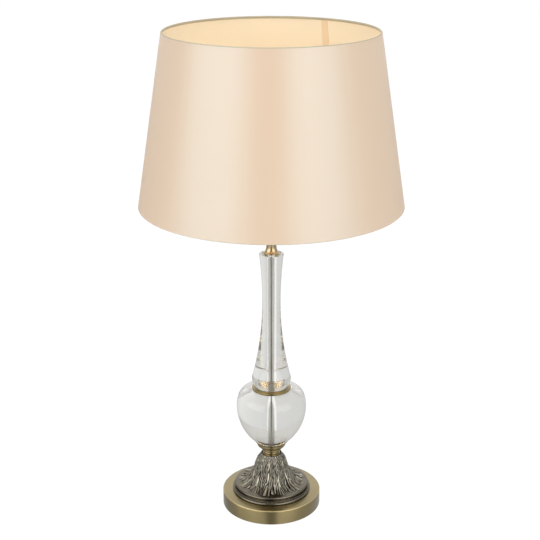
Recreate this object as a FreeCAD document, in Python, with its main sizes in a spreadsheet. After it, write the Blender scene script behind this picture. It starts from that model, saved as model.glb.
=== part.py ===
"""Candlestick table lamp: a crystal urn and trumpet column on a cast leaf skirt and a turned base,
with a tapered drum shade on a ring-clamped lampholder. Millimetres, +Z up, standing on z = 0."""
import FreeCAD, Part
import math
import os
import Sketcher

V = FreeCAD.Vector
DOC = FreeCAD.newDocument("candlestick_lamp")
SHEET = DOC.addObject("Spreadsheet::Sheet", "Sizes")


class Size:
    """A number together with the text that binds it to the sheet."""

    def __init__(self, value, text):
        self.value = value
        self.text = text

    def join(self, other, sign, value):
        other_text = other.text if isinstance(other, Size) else repr(other)
        return Size(value, "(%s %s %s)" % (self.text, sign, other_text))

    def __add__(self, other):
        return self.join(other, "+", self.value + number(other))

    def __sub__(self, other):
        return self.join(other, "-", self.value - number(other))

    def __mul__(self, other):
        return self.join(other, "*", self.value * number(other))

    def __truediv__(self, other):
        return self.join(other, "/", self.value / number(other))

    def __rsub__(self, other):
        return Size(other - self.value, "(%r - %s)" % (other, self.text))

    def __neg__(self):
        return Size(-self.value, "(-1 * %s)" % self.text)


def number(size):
    return size.value if isinstance(size, Size) else float(size)


def square_root(size):
    return Size(math.sqrt(size.value), "sqrt(%s)" % size.text)


SHEET.set("A1", "Driving dimensions in millimetres")
sheet_row = 1


def size(alias, value, note):
    """Put one driving dimension in the sheet and give back its bound value."""
    global sheet_row
    sheet_row += 1
    SHEET.set("A%d" % sheet_row, note)
    SHEET.set("B%d" % sheet_row, str(value))
    SHEET.setAlias("B%d" % sheet_row, alias)
    return Size(float(value), "Sizes." + alias)


# ---------------------------------------------------------------- driving dimensions
fit_gap = size("fit_gap", 0.3, "clearance between neighbouring curved faces")
thread_gap = size("thread_gap", 0.05, "radial clearance of a thread drawn as a plain cylinder")

felt_inset = size("felt_inset", 4, "how far the pad stays inside the base's edge")
felt_thickness = size("felt_thickness", 1.2, "pad under the base")
base_radius = size("base_radius", 70, "base disc")
base_height = size("base_height", 21, "base disc, without the pad")
base_wall = size("base_wall", 1.5, "wall of the spun base disc")
base_chamfer = size("base_chamfer", 1.1, "bright edge of the base disc")
nut_pocket_radius = size("nut_pocket_radius", 15, "pocket under the ballast")
nut_pocket_depth = size("nut_pocket_depth", 10, "pocket under the ballast")
inlet_radius = size("inlet_radius", 3.2, "bore of the cord inlet")
inlet_height = size("inlet_height", 7.5, "axis of the cord inlet above the base disc's edge")
bushing_wall = size("bushing_wall", 1.2, "wall of the inlet bushing")
bushing_flange = size("bushing_flange", 1.8, "reach of the bushing's flanges past its wall")
bushing_flange_thickness = size("bushing_flange_thickness", 1.2, "flanges of the bushing")

rod_radius = size("rod_radius", 4, "hollow threaded rod")
rod_bore_radius = size("rod_bore_radius", 2.8, "wire way in the rod")
rod_tail = size("rod_tail", 1, "rod below the nut")
nut_flats = size("nut_flats", 13, "rod nut across its flats")
nut_height = size("nut_height", 5, "rod nut")
lock_washer_radius = size("lock_washer_radius", 7.4, "lock washer")
lock_washer_thickness = size("lock_washer_thickness", 1.2, "lock washer")
rod_washer_radius = size("rod_washer_radius", 12, "wide washer under the ballast")
rod_washer_thickness = size("rod_washer_thickness", 1.5, "wide washer under the ballast")

ring_foot_radius = size("ring_foot_radius", 56, "rounded foot of the beaded ring")
ring_foot_height = size("ring_foot_height", 4, "rounded foot of the beaded ring")
ring_band_radius = size("ring_band_radius", 54, "band that carries the beads")
ring_height = size("ring_height", 7.3, "whole beaded ring")
ring_inner_radius = size("ring_inner_radius", 44, "opening of the beaded ring")
shadow_groove = size("shadow_groove", 1.1, "groove between the bead band and the plate")

plate_radius = size("plate_radius", 52.7, "round plate of the skirt casting")
plate_thickness = size("plate_thickness", 3.7, "round plate of the skirt casting")
skirt_height = size("skirt_height", 45.8, "leaf bell above its plate")
skirt_top_radius = size("skirt_top_radius", 14.8, "leaf bell at its top edge")
skirt_shoulder_height = size("skirt_shoulder_height", 37, "where the bell's shoulder begins")
skirt_hip_height = size("skirt_hip_height", 25, "where the bell begins to flare")
skirt_hip_radius = size("skirt_hip_radius", 24.6, "bell where it begins to flare")
skirt_flank_slope = size("skirt_flank_slope", 0.33, "widening of the bell's flank per unit of height")
skirt_wall = size("skirt_wall", 3, "wall of the hollow casting")
leaf_tip_radius = size("leaf_tip_radius", 48.5, "reach of the large leaf tips on the plate")
leaf_valley_radius = size("leaf_valley_radius", 41.5, "foot of the bell between the leaves")
small_leaf_setback = size("small_leaf_setback", 3, "how much shorter the small leaves are")
leaf_lip = size("leaf_lip", 1.2, "thickness of the leaf tips where they lie on the plate")
leaf_curl_height = size("leaf_curl_height", 9, "height over which the leaf tips turn outwards")
leaf_relief = size("leaf_relief", 1.7, "depth of the valleys between the leaves")
leaf_pairs = size("leaf_pairs", 6, "large leaves round the bell, with as many small ones between")
leaf_turn = size("leaf_turn", 81, "direction of one large leaf, in degrees from the X axis")

collar_sink = size("collar_sink", 2.4, "depth of the collar's seat in the skirt")
collar_flange_radius = size("collar_flange_radius", 12.7, "rounded flange at the collar's foot")
collar_flange_height = size("collar_flange_height", 3, "rounded flange at the collar's foot")
collar_bead_radius = size("collar_bead_radius", 12.4, "bead in the middle of the collar")
collar_bead_height = size("collar_bead_height", 3.2, "bead in the middle of the collar")
collar_head_radius = size("collar_head_radius", 13.7, "band at the collar's head")
collar_head_height = size("collar_head_height", 3.7, "band at the collar's head")
collar_neck_radius = size("collar_neck_radius", 11.2, "grooves of the collar")
collar_groove = size("collar_groove", 0.8, "lower groove of the collar")
collar_cove = size("collar_cove", 1.2, "upper, sloping groove of the collar")

cup_foot_radius = size("cup_foot_radius", 14.4, "foot of the cup's bowl")
cup_belly_radius = size("cup_belly_radius", 20.7, "belly of the cup's bowl")
cup_belly_rise = size("cup_belly_rise", 5.5, "belly above the cup's foot")
cup_belly_curve = size("cup_belly_curve", 7, "curve under the cup's belly")
cup_waist_rise = size("cup_waist_rise", 8, "start of the lip above the cup's foot")
cup_rim_radius = size("cup_rim_radius", 24.7, "out-turned lip of the cup")
cup_lip_curve = size("cup_lip_curve", 6.5, "hollow curve under the lip")
cup_height = size("cup_height", 11.5, "urn cup")
cup_seat_depth = size("cup_seat_depth", 4, "depth of the urn's seat in the cup")

washer_radius = size("washer_radius", 8.4, "clear washers between crystal and brass")
washer_thickness = size("washer_thickness", 0.6, "clear washers between crystal and brass")
washer_sink = size("washer_sink", 0.3, "recess of each clear washer in the brass")

crystal_bore_radius = size("crystal_bore_radius", 5, "bore of both crystals")
urn_height = size("urn_height", 83.5, "crystal urn")
urn_radius = size("urn_radius", 49.25, "crystal urn at its widest")
urn_lower_curve = size("urn_lower_curve", 71, "curve of the urn below its widest line")
urn_shoulder_curve = size("urn_shoulder_curve", 45, "curve of the urn above its widest line")
urn_shoulder_rise = size("urn_shoulder_rise", 14.3, "height of that curve")
urn_crown_curve = size("urn_crown_curve", 16, "tighter curve from there to the flat top")
urn_bevel = size("urn_bevel", 0.8, "ground edge under the urn")

glass_ring_radius = size("glass_ring_radius", 27.6, "brass ring under the column")
glass_ring_edge = size("glass_ring_edge", 2.2, "upright edge of that ring")
glass_ring_height = size("glass_ring_height", 4.1, "whole ring, up to the column's foot")
glass_ring_land = size("glass_ring_land", 23.4, "flat land under the column's foot")

column_height = size("column_height", 196, "crystal column")
column_bun_radius = size("column_bun_radius", 27.4, "column at its widest")
column_bun_curve = size("column_bun_curve", 18, "round of the column's foot")
column_bun_rise = size("column_bun_rise", 12, "widest line above the foot's flat")
column_crease_rise = size("column_crease_rise", 5, "crease above the widest line")
column_crease_curve = size("column_crease_curve", 12, "tighter round from the widest line to the crease")
column_waist_radius = size("column_waist_radius", 12.65, "column at its waist")
column_waist_rise = size("column_waist_rise", 126.5, "waist above the column's foot")
column_top_radius = size("column_top_radius", 16.9, "column at its flat top")
column_bevel = size("column_bevel", 0.5, "ground edge of the column's top")

neck_height = size("neck_height", 19.5, "brass trumpet neck")
neck_flange_radius = size("neck_flange_radius", 10.2, "foot of the neck")
neck_flange_height = size("neck_flange_height", 2.2, "foot of the neck")
neck_flare_radius = size("neck_flare_radius", 9.1, "neck just above its foot")
neck_flare_height = size("neck_flare_height", 9, "hollow curve of the neck above its foot")
neck_waist_radius = size("neck_waist_radius", 6.9, "waist of the neck")
neck_top_radius = size("neck_top_radius", 8.6, "seat of the lampholder on the neck")
neck_top_height = size("neck_top_height", 2.5, "straight band at the neck's top")

holder_radius = size("holder_radius", 19.4, "lampholder cap")
holder_wall = size("holder_wall", 1.2, "wall of the lampholder shells")
holder_foot_radius = size("holder_foot_radius", 9.5, "flat foot of the lampholder cap")
holder_dome_height = size("holder_dome_height", 10, "domed part of the lampholder cap")
holder_dome_curve = size("holder_dome_curve", 13, "curve of the lampholder cap")
holder_cap_height = size("holder_cap_height", 23, "lower shell of the lampholder")
holder_boss_radius = size("holder_boss_radius", 8, "threaded boss inside the cap")
holder_boss_height = size("holder_boss_height", 9, "threaded boss inside the cap")
holder_spigot = size("holder_spigot", 4, "upper shell's reach into the cap")
holder_body_height = size("holder_body_height", 38, "upper shell of the lampholder")
holder_mouth_radius = size("holder_mouth_radius", 15.5, "mouth of the lampholder")
holder_thread_radius = size("holder_thread_radius", 20, "outer thread for the shade ring")
shoulder_rise = size("shoulder_rise", 18, "seat of the shade above the cap's edge")
shoulder_radius = size("shoulder_radius", 24.5, "shoulder that carries the shade")
shoulder_thickness = size("shoulder_thickness", 2, "shoulder that carries the shade")
insert_radius = size("insert_radius", 15.5, "ceramic insert")
insert_height = size("insert_height", 14, "ceramic insert")
wire_hole_radius = size("wire_hole_radius", 3, "wire hole through the insert")
terminal_radius = size("terminal_radius", 1.8, "terminal screws")
terminal_length = size("terminal_length", 3, "terminal screws below the insert")
terminal_offset = size("terminal_offset", 11.2, "terminal screws from the lamp's axis")
shell_radius = size("shell_radius", 13.35, "inside of the screw shell")
shell_wall = size("shell_wall", 0.5, "screw shell")
shell_height = size("shell_height", 26, "screw shell")
shell_foot_radius = size("shell_foot_radius", 9, "opening in the screw shell's foot")
tongue_width = size("tongue_width", 5, "spring tongue for the bulb's tip")
tongue_length = size("tongue_length", 7, "half the length of the spring tongue")
tongue_thickness = size("tongue_thickness", 0.5, "spring tongue")
tongue_rise = size("tongue_rise", 2.4, "top of the tongue above the insert")

fitter_ring_radius = size("fitter_ring_radius", 27, "fitter ring of the shade")
fitter_ring_bore = size("fitter_ring_bore", 20.6, "fitter ring of the shade")
fitter_ring_thickness = size("fitter_ring_thickness", 2, "fitter ring of the shade")
spoke_radius = size("spoke_radius", 1.5, "wire spokes of the fitter")
spoke_count = size("spoke_count", 3, "wire spokes of the fitter")
clamp_radius = size("clamp_radius", 25.5, "threaded shade ring")
clamp_height = size("clamp_height", 6, "threaded shade ring")
grip_count = size("grip_count", 12, "finger notches of the shade ring")
grip_radius = size("grip_radius", 2, "finger notches of the shade ring")
grip_depth = size("grip_depth", 0.9, "finger notches of the shade ring")

shade_bottom_radius = size("shade_bottom_radius", 178, "drum shade, outside, at the bottom")
shade_top_radius = size("shade_top_radius", 141.5, "drum shade, outside, at the top")
shade_height = size("shade_height", 231, "drum shade")
shade_rise = size("shade_rise", 8.8, "shade's bottom edge above its seat on the lampholder")
cover_thickness = size("cover_thickness", 0.4, "satin outside of the shade")
liner_thickness = size("liner_thickness", 0.6, "stiff backing of the shade")
roll_radius = size("roll_radius", 1, "rolled edge of the shade")
wire_radius = size("wire_radius", 0.6, "wire inside the rolled edge")
wire_slack = size("wire_slack", 0.1, "room round the wire in its fabric roll")
glue_line = size("glue_line", 0.05, "glue between the roll and the cover")

bulb_radius = size("bulb_radius", 30, "bulb")
bulb_length = size("bulb_length", 106, "bulb with its cap")
bulb_wall = size("bulb_wall", 1, "glass of the bulb")
bulb_cap_radius = size("bulb_cap_radius", 13.05, "screw cap of the bulb")
bulb_cap_height = size("bulb_cap_height", 24, "screw cap of the bulb")
bulb_cap_wall = size("bulb_cap_wall", 0.5, "screw cap of the bulb")
bulb_neck_radius = size("bulb_neck_radius", 12.9, "globe where it leaves the cap")
bulb_insulator_radius = size("bulb_insulator_radius", 8, "insulator round the centre contact")
bulb_insulator_height = size("bulb_insulator_height", 1.4, "insulator round the centre contact")
bulb_tip_radius = size("bulb_tip_radius", 4.5, "centre contact of the bulb")
bulb_tip_height = size("bulb_tip_height", 1.6, "centre contact of the bulb")

DOC.recompute()

# ---------------------------------------------------------------- heights that stack up
crystal_gap = washer_thickness - washer_sink
base_foot_z = felt_thickness
base_top_z = base_foot_z + base_height
plate_foot_z = base_top_z + ring_height
plate_top_z = plate_foot_z + plate_thickness
skirt_top_z = plate_top_z + skirt_height
collar_foot_z = skirt_top_z - collar_sink
collar_bead_z = collar_foot_z + collar_flange_height + collar_groove
collar_head_z = collar_bead_z + collar_bead_height + collar_cove
cup_foot_z = collar_head_z + collar_head_height
cup_rim_z = cup_foot_z + cup_height
cup_floor_z = cup_rim_z - cup_seat_depth
urn_foot_z = cup_floor_z + crystal_gap
urn_top_z = urn_foot_z + urn_height
urn_crown_height = urn_crown_curve * (1 - urn_shoulder_rise / urn_shoulder_curve)
urn_crown_z = urn_top_z - urn_crown_height
urn_widest_z = urn_crown_z - urn_shoulder_rise
glass_ring_z = urn_top_z + crystal_gap
glass_ring_top_z = glass_ring_z + glass_ring_height
column_foot_z = glass_ring_top_z + crystal_gap
column_top_z = column_foot_z + column_height
neck_foot_z = column_top_z + crystal_gap
holder_foot_z = neck_foot_z + neck_height
insert_foot_z = holder_foot_z + holder_boss_height
insert_top_z = insert_foot_z + insert_height
cap_edge_z = holder_foot_z + holder_cap_height
seat_z = cap_edge_z + shoulder_rise
clamp_foot_z = seat_z + fitter_ring_thickness
shade_foot_z = seat_z + shade_rise
shade_top_z = shade_foot_z + shade_height
bulb_foot_z = insert_top_z + tongue_rise + fit_gap
bulb_cap_z = bulb_foot_z + bulb_tip_height + bulb_insulator_height
bulb_globe_z = bulb_cap_z + bulb_cap_height
rod_hole = rod_radius + fit_gap


# ---------------------------------------------------------------- tools of the drawing board
def origin_part(body, role):
    """One of a body's own origin planes or axes."""
    for feature in body.Origin.OriginFeatures:
        if feature.Role == role:
            return feature
    raise RuntimeError("no origin part " + role)


def new_sketch(body, name, role):
    sketch = body.newObject("Sketcher::SketchObject", name)
    sketch.AttachmentSupport = (origin_part(body, role), [""])
    sketch.MapMode = "FlatFace"
    return sketch


def hold(sketch, geometry, point, across, up):
    """Hold one point of a sketch at two bound distances from the origin."""
    for kind, distance in (("DistanceX", across), ("DistanceY", up)):
        if number(distance) == 0:
            axis = -2 if kind == "DistanceX" else -1
            sketch.addConstraint(Sketcher.Constraint("PointOnObject", geometry, point, axis))
            continue
        index = sketch.addConstraint(
            Sketcher.Constraint(kind, -1, 1, geometry, point, number(distance)))
        if isinstance(distance, Size):
            sketch.setExpression("Constraints[%d]" % index, distance.text)


def arc_between(start, end, radius):
    """The short arc from start to end. A positive radius bulges to the right of the way it runs."""
    chord = end - start
    middle = start + chord * 0.5
    to_left = V(-chord.y, chord.x, 0) * (1.0 / chord.Length)
    depth = math.sqrt(max(radius * radius - chord.Length ** 2 / 4.0, 0.0))
    side = 1.0 if radius > 0 else -1.0
    centre = middle + to_left * (depth * side)
    angles = [math.atan2(p.y - centre.y, p.x - centre.x) for p in (start, end)]
    counter_clockwise = radius > 0
    first, last = angles if counter_clockwise else angles[::-1]
    while last < first:
        last += 2 * math.pi
    circle = Part.Circle(centre, V(0, 0, 1), abs(radius))
    return Part.ArcOfCircle(circle, first, last), (1, 2) if counter_clockwise else (2, 1)


def outline(sketch, stops):
    """Draw a closed outline. A stop is (across, up) for a straight run to it, or
    (across, up, radius) for an arc to it: a positive radius bulges to the right of the run."""
    points = [V(number(stop[0]), number(stop[1]), 0) for stop in stops]
    ends = []
    for place, stop in enumerate(stops):
        start, end = points[place - 1], points[place]
        if len(stop) == 3:
            arc, vertices = arc_between(start, end, number(stop[2]))
            geometry = sketch.addGeometry(arc, False)
            index = sketch.addConstraint(
                Sketcher.Constraint("Radius", geometry, abs(number(stop[2]))))
            if isinstance(stop[2], Size):
                bound = stop[2].text if number(stop[2]) > 0 else "-1 * " + stop[2].text
                sketch.setExpression("Constraints[%d]" % index, bound)
        else:
            geometry = sketch.addGeometry(Part.LineSegment(start, end), False)
            vertices = (1, 2)
        ends.append((geometry, vertices))
    for place, (geometry, vertices) in enumerate(ends):
        before, before_vertices = ends[place - 1]
        sketch.addConstraint(
            Sketcher.Constraint("Coincident", before, before_vertices[1], geometry, vertices[0]))
        hold(sketch, geometry, vertices[1], stops[place][0], stops[place][1])


def turned(name, stops):
    """A piece turned on the lathe: the outline of its wall, swung round the lamp's axis."""
    body = DOC.addObject("PartDesign::Body", name)
    sketch = new_sketch(body, name + "_profile", "XZ_Plane")
    outline(sketch, stops)
    swing = body.newObject("PartDesign::Revolution", name + "_turned")
    swing.Profile = sketch
    swing.ReferenceAxis = (sketch, ["V_Axis"])
    swing.Angle = 360
    return body


def bound_circle(sketch, across, up, radius):
    circle = Part.Circle(V(number(across), number(up), 0), V(0, 0, 1), number(radius))
    geometry = sketch.addGeometry(circle, False)
    index = sketch.addConstraint(Sketcher.Constraint("Radius", geometry, number(radius)))
    sketch.setExpression("Constraints[%d]" % index, radius.text)
    hold(sketch, geometry, 3, across, up)


def polar_copies(body, feature, count):
    pattern = body.newObject("PartDesign::PolarPattern", body.Name + "_round")
    pattern.Originals = [feature]
    pattern.Axis = (origin_part(body, "Z_Axis"), [""])
    pattern.Angle = 360
    pattern.setExpression("Occurrences", count.text)
    body.Tip = pattern
    return pattern


SUB_PARTS = []


def finished(part, label):
    part.Label = label
    SUB_PARTS.append(part)
    return part


MOULDING_CURVE = 0.51


def rounded(outer, foot, height):
    """Two stops that draw a moulding of the given height with a nearly half-round edge."""
    curve = height * MOULDING_CURVE
    bulge = curve - square_root(curve * curve - height * height / 4)
    return [(outer - bulge, foot), (outer - bulge, foot + height, curve)]


# ---------------------------------------------------------------- base
def base_felt():
    """Round pad of felt that stays a little inside the base's edge."""
    outside = base_radius - felt_inset
    return turned("FeltPad", [
        (0, 0), (outside, 0), (outside, felt_thickness), (0, felt_thickness)])


def base_disc():
    """Spun brass disc, open below, with a chamfered edge and a hole for the cord inlet."""
    inside = base_radius - base_wall
    under_top = base_top_z - base_wall
    body = turned("BaseDisc", [
        (rod_hole, under_top), (inside, under_top), (inside, base_foot_z),
        (base_radius, base_foot_z), (base_radius, base_top_z - base_chamfer),
        (base_radius - base_chamfer, base_top_z), (rod_hole, base_top_z)])
    sketch = new_sketch(body, "InletHole", "XZ_Plane")
    bound_circle(sketch, 0, base_foot_z + inlet_height, inlet_radius + bushing_wall)
    cut_to_the_back(body, sketch)
    return body


def base_weight():
    """Cast ballast: a disc with a pocket for the nut below and a channel to the inlet."""
    outside = base_radius - base_wall - fit_gap
    ceiling = base_foot_z + nut_pocket_depth
    top = base_top_z - base_wall
    body = turned("BaseWeight", [
        (nut_pocket_radius, base_foot_z), (outside, base_foot_z), (outside, top), (rod_hole, top),
        (rod_hole, ceiling), (nut_pocket_radius, ceiling)])
    sketch = new_sketch(body, "CordChannel", "XZ_Plane")
    half = inlet_radius + bushing_wall + bushing_flange + fit_gap
    head = base_foot_z + inlet_height + half
    outline(sketch, [(-half, 0), (half, 0), (half, head), (-half, head)])
    cut_to_the_back(body, sketch)
    return body


def cut_to_the_back(body, sketch):
    """Cut a sketch on the front plane through everything behind the lamp's axis."""
    DOC.recompute()
    whole = body.Shape.Volume
    pocket = body.newObject("PartDesign::Pocket", sketch.Name + "Pocket")
    pocket.Profile = sketch
    pocket.Type = 1
    DOC.recompute()
    if pocket.Shape.Volume >= whole:
        raise RuntimeError(sketch.Name + " cuts nothing")


def cord_bushing():
    """Bush that snaps into the base disc's wall, with a flange on each side of it."""
    body = DOC.addObject("PartDesign::Body", "CordBushing")
    sketch = new_sketch(body, "BushingProfile", "YZ_Plane")
    barrel = inlet_radius + bushing_wall - thread_gap
    flange = barrel + bushing_flange
    axis_z = base_foot_z + inlet_height
    inside = base_radius - base_wall
    wall_in = square_root(inside * inside - flange * flange) - thread_gap
    wall_out = base_radius + thread_gap
    tail = wall_in - bushing_flange_thickness
    head = wall_out + bushing_flange_thickness
    outline(sketch, [
        (tail, axis_z + inlet_radius), (head, axis_z + inlet_radius), (head, axis_z + flange),
        (wall_out, axis_z + flange), (wall_out, axis_z + barrel), (wall_in, axis_z + barrel),
        (wall_in, axis_z + flange), (tail, axis_z + flange)])
    swing_round_line(body, sketch, (tail, axis_z), (head, axis_z))
    return body


def swing_round_line(body, sketch, start, end):
    """Revolve a sketch round a construction line of its own."""
    line = Part.LineSegment(V(number(start[0]), number(start[1]), 0),
                            V(number(end[0]), number(end[1]), 0))
    centre_line = sketch.addGeometry(line, True)
    hold(sketch, centre_line, 1, start[0], start[1])
    hold(sketch, centre_line, 2, end[0], end[1])
    swing = body.newObject("PartDesign::Revolution", sketch.Name + "Turned")
    swing.Profile = sketch
    swing.ReferenceAxis = (sketch, ["Axis0"])
    swing.Angle = 360
    return swing


# ---------------------------------------------------------------- rod and its fasteners
def tube(name, inner, outer, foot, head):
    return turned(name, [(inner, foot), (outer, foot), (outer, head), (inner, head)])


nut_ceiling_z = base_foot_z + nut_pocket_depth
rod_washer_z = nut_ceiling_z - rod_washer_thickness
lock_washer_z = rod_washer_z - lock_washer_thickness
nut_foot_z = lock_washer_z - nut_height


SQUARE_ROOT_OF_3 = math.sqrt(3)


def rod_nut():
    """Hexagon nut: a hexagonal pad round the threaded bore, its corners held by the flats."""
    body = DOC.addObject("PartDesign::Body", "RodNut")
    sketch = new_sketch(body, "NutHexagon", "XY_Plane")
    half = nut_flats / 2
    corner = nut_flats / SQUARE_ROOT_OF_3
    outline(sketch, [
        (half, -corner / 2), (half, corner / 2), (0, corner), (-half, corner / 2),
        (-half, -corner / 2), (0, -corner)])
    bound_circle(sketch, 0, 0, rod_radius + thread_gap)
    pad = body.newObject("PartDesign::Pad", "NutPad")
    pad.Profile = sketch
    pad.setExpression("Length", nut_height.text)
    body.setExpression("Placement.Base.z", nut_foot_z.text)
    return body


# ---------------------------------------------------------------- beaded ring and leaf skirt
def beaded_ring():
    """Cast ring between the base and the skirt's plate: round foot, bead band, shadow groove."""
    foot_top = base_top_z + ring_foot_height
    groove_z = plate_foot_z - shadow_groove
    groove_radius = ring_band_radius - shadow_groove * 2
    return turned("BeadedRing", [(ring_inner_radius, base_top_z)]
        + rounded(ring_foot_radius, base_top_z, ring_foot_height)
        + [(ring_band_radius, foot_top), (ring_band_radius, groove_z), (groove_radius, groove_z),
           (groove_radius, plate_foot_z), (ring_inner_radius, plate_foot_z)])


LEAF_SAMPLES = 8
LEAF_FADE = 0.75
BELL_LEVELS = (-0.012, 0.013, 0.028, 0.05, 0.09, 0.16, 0.26, 0.39, 0.54, 0.7, 0.82, 0.91, 0.97, 1)


def bell_radius(height):
    """Crest of the leaf bell over its plate: a rounded shoulder above a flank that flares."""
    hip, shoulder = number(skirt_hip_height), number(skirt_shoulder_height)
    below_hip = hip - height
    straight = number(skirt_hip_radius) + number(skirt_flank_slope) * below_hip
    foot_spare = (number(leaf_valley_radius) - number(skirt_hip_radius)
                  - number(skirt_flank_slope) * hip)
    flank = straight + foot_spare * (max(0.0, below_hip) / hip) ** 3
    if height <= shoulder:
        return flank
    rise = min(1.0, (height - shoulder) / (number(skirt_height) - shoulder))
    crown = number(skirt_top_radius)
    return crown + (flank - crown) * (1 - rise ** 2) ** 1.5


def leaf_section(height):
    """One level of the bell: large and small leaves in turn, parted by valleys, tips turned out."""
    leaves = 2 * int(number(leaf_pairs))
    count = LEAF_SAMPLES * leaves
    over_lip = max(0.0, height - number(leaf_lip))
    curl = max(0.0, 1 - over_lip / number(leaf_curl_height)) ** 2
    relief = number(leaf_relief) * (1 - LEAF_FADE * (height / number(skirt_height)) ** 2)
    points = []
    for step in range(count):
        leaf, place = divmod(step, LEAF_SAMPLES)
        across = abs(2.0 * place / LEAF_SAMPLES - 1)
        reach = number(leaf_tip_radius) - (leaf % 2) * number(small_leaf_setback)
        radius = bell_radius(max(0.0, height))
        radius += (reach - number(leaf_valley_radius)) * (1 - across ** 1.5) * curl
        radius -= relief * across ** 3
        turn = math.radians(number(leaf_turn)) + 2 * math.pi * (step / count - 0.5 / leaves)
        points.append(V(radius * math.cos(turn), radius * math.sin(turn),
                        number(plate_top_z) + height))
    level = Part.BSplineCurve()
    level.interpolate(Points=points, PeriodicFlag=True)
    return Part.Wire([level.toShape()])


def leaf_skirt():
    """Hollow casting: the leaf bell and the round plate below it, with a seat for the collar."""
    bell = DOC.addObject("Part::Feature", "LeafBell")
    levels = [number(skirt_height) * share for share in BELL_LEVELS]
    bell.Shape = Part.makeLoft([leaf_section(level) for level in levels], True, True)
    plate = turned("SkirtPlate", [(skirt_hip_radius, plate_foot_z)]
        + rounded(plate_radius, plate_foot_z, plate_thickness)
        + [(skirt_hip_radius, plate_top_z)])
    joined = DOC.addObject("Part::Fuse", "SkirtAndPlate")
    joined.Base = bell
    joined.Tool = plate
    hollow_top_z = collar_foot_z - skirt_wall
    hollow_hip_z = plate_top_z + skirt_hip_height
    hollow = turned("SkirtHollow", [
        (0, plate_foot_z - skirt_wall), (leaf_valley_radius - skirt_wall, plate_foot_z - skirt_wall),
        (leaf_valley_radius - skirt_wall, plate_foot_z),
        (skirt_hip_radius - leaf_relief - skirt_wall, hollow_hip_z, -skirt_height),
        (skirt_top_radius - skirt_wall / 2, hollow_top_z), (0, hollow_top_z)])
    seat_radius = collar_flange_radius + fit_gap
    opening = turned("CollarSeat", [
        (0, hollow_top_z - skirt_wall), (rod_hole, hollow_top_z - skirt_wall),
        (rod_hole, collar_foot_z), (seat_radius, collar_foot_z),
        (seat_radius, skirt_top_z + skirt_wall), (0, skirt_top_z + skirt_wall)])
    hollowed = DOC.addObject("Part::Cut", "SkirtHollowed")
    hollowed.Base = joined
    hollowed.Tool = hollow
    skirt = DOC.addObject("Part::Cut", "LeafSkirt")
    skirt.Base = hollowed
    skirt.Tool = opening
    return skirt


# ---------------------------------------------------------------- turned brass and crystal
def spool_collar():
    """Turned collar: rounded flange sunk in the skirt, bead, and a plain band at the head."""
    return turned("SpoolCollar", [(rod_hole, collar_foot_z)]
        + rounded(collar_flange_radius, collar_foot_z, collar_flange_height)
        + [(collar_neck_radius, collar_bead_z - collar_groove), (collar_neck_radius, collar_bead_z)]
        + rounded(collar_bead_radius, collar_bead_z, collar_bead_height)
        + [(collar_head_radius, collar_head_z), (collar_head_radius, cup_foot_z),
           (rod_hole, cup_foot_z)])


def urn_radius_at(height_z, offset):
    """Radius of the urn's lower curve, pushed out by an offset, at a height of the lamp."""
    depth = urn_widest_z - height_z
    reach = urn_lower_curve + offset
    return urn_radius - urn_lower_curve + square_root(reach * reach - depth * depth)


def urn_cup():
    """Ogee cup: a bowl with an out-turned lip, hollowed to the curve of the urn's foot."""
    recess = washer_radius + fit_gap
    return turned("UrnCup", [
        (rod_hole, cup_foot_z), (cup_foot_radius, cup_foot_z),
        (cup_belly_radius, cup_foot_z + cup_belly_rise, cup_belly_curve),
        (cup_belly_radius, cup_foot_z + cup_waist_rise),
        (cup_rim_radius, cup_rim_z, -cup_lip_curve), (urn_radius_at(cup_rim_z, fit_gap), cup_rim_z),
        (urn_radius_at(cup_floor_z, fit_gap), cup_floor_z, -(urn_lower_curve + fit_gap)),
        (recess, cup_floor_z), (recess, cup_floor_z - washer_sink),
        (rod_hole, cup_floor_z - washer_sink)])


def urn_glass():
    """Solid crystal: one long curve below the widest line, two that round the shoulder above."""
    reach = square_root(urn_shoulder_curve * urn_shoulder_curve
                        - urn_shoulder_rise * urn_shoulder_rise)
    crown_radius = urn_radius - urn_shoulder_curve + reach
    flat_radius = crown_radius - reach * urn_crown_curve / urn_shoulder_curve
    foot_radius = urn_radius_at(urn_foot_z + urn_bevel, 0)
    return turned("UrnGlass", [
        (crystal_bore_radius, urn_foot_z), (foot_radius - urn_bevel * 1.5, urn_foot_z),
        (foot_radius, urn_foot_z + urn_bevel), (urn_radius, urn_widest_z, urn_lower_curve),
        (crown_radius, urn_crown_z, urn_shoulder_curve), (flat_radius, urn_top_z, urn_crown_curve),
        (crystal_bore_radius, urn_top_z)])


def glass_ring():
    """Brass ring between the crystals, its top sloping gently down to an upright edge."""
    recess = washer_radius + fit_gap
    return turned("GlassRing", [
        (rod_hole, glass_ring_z + washer_sink), (recess, glass_ring_z + washer_sink),
        (recess, glass_ring_z), (glass_ring_radius, glass_ring_z),
        (glass_ring_radius, glass_ring_z + glass_ring_edge), (glass_ring_land, glass_ring_top_z),
        (recess, glass_ring_top_z), (recess, glass_ring_top_z - washer_sink),
        (rod_hole, glass_ring_top_z - washer_sink)])


def hollow_curve(first, second, rise):
    """Radius of an arc that leaves one end upright and moves sideways by the difference."""
    across = first - second
    return (rise * rise + across * across) / (across * 2)


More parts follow.
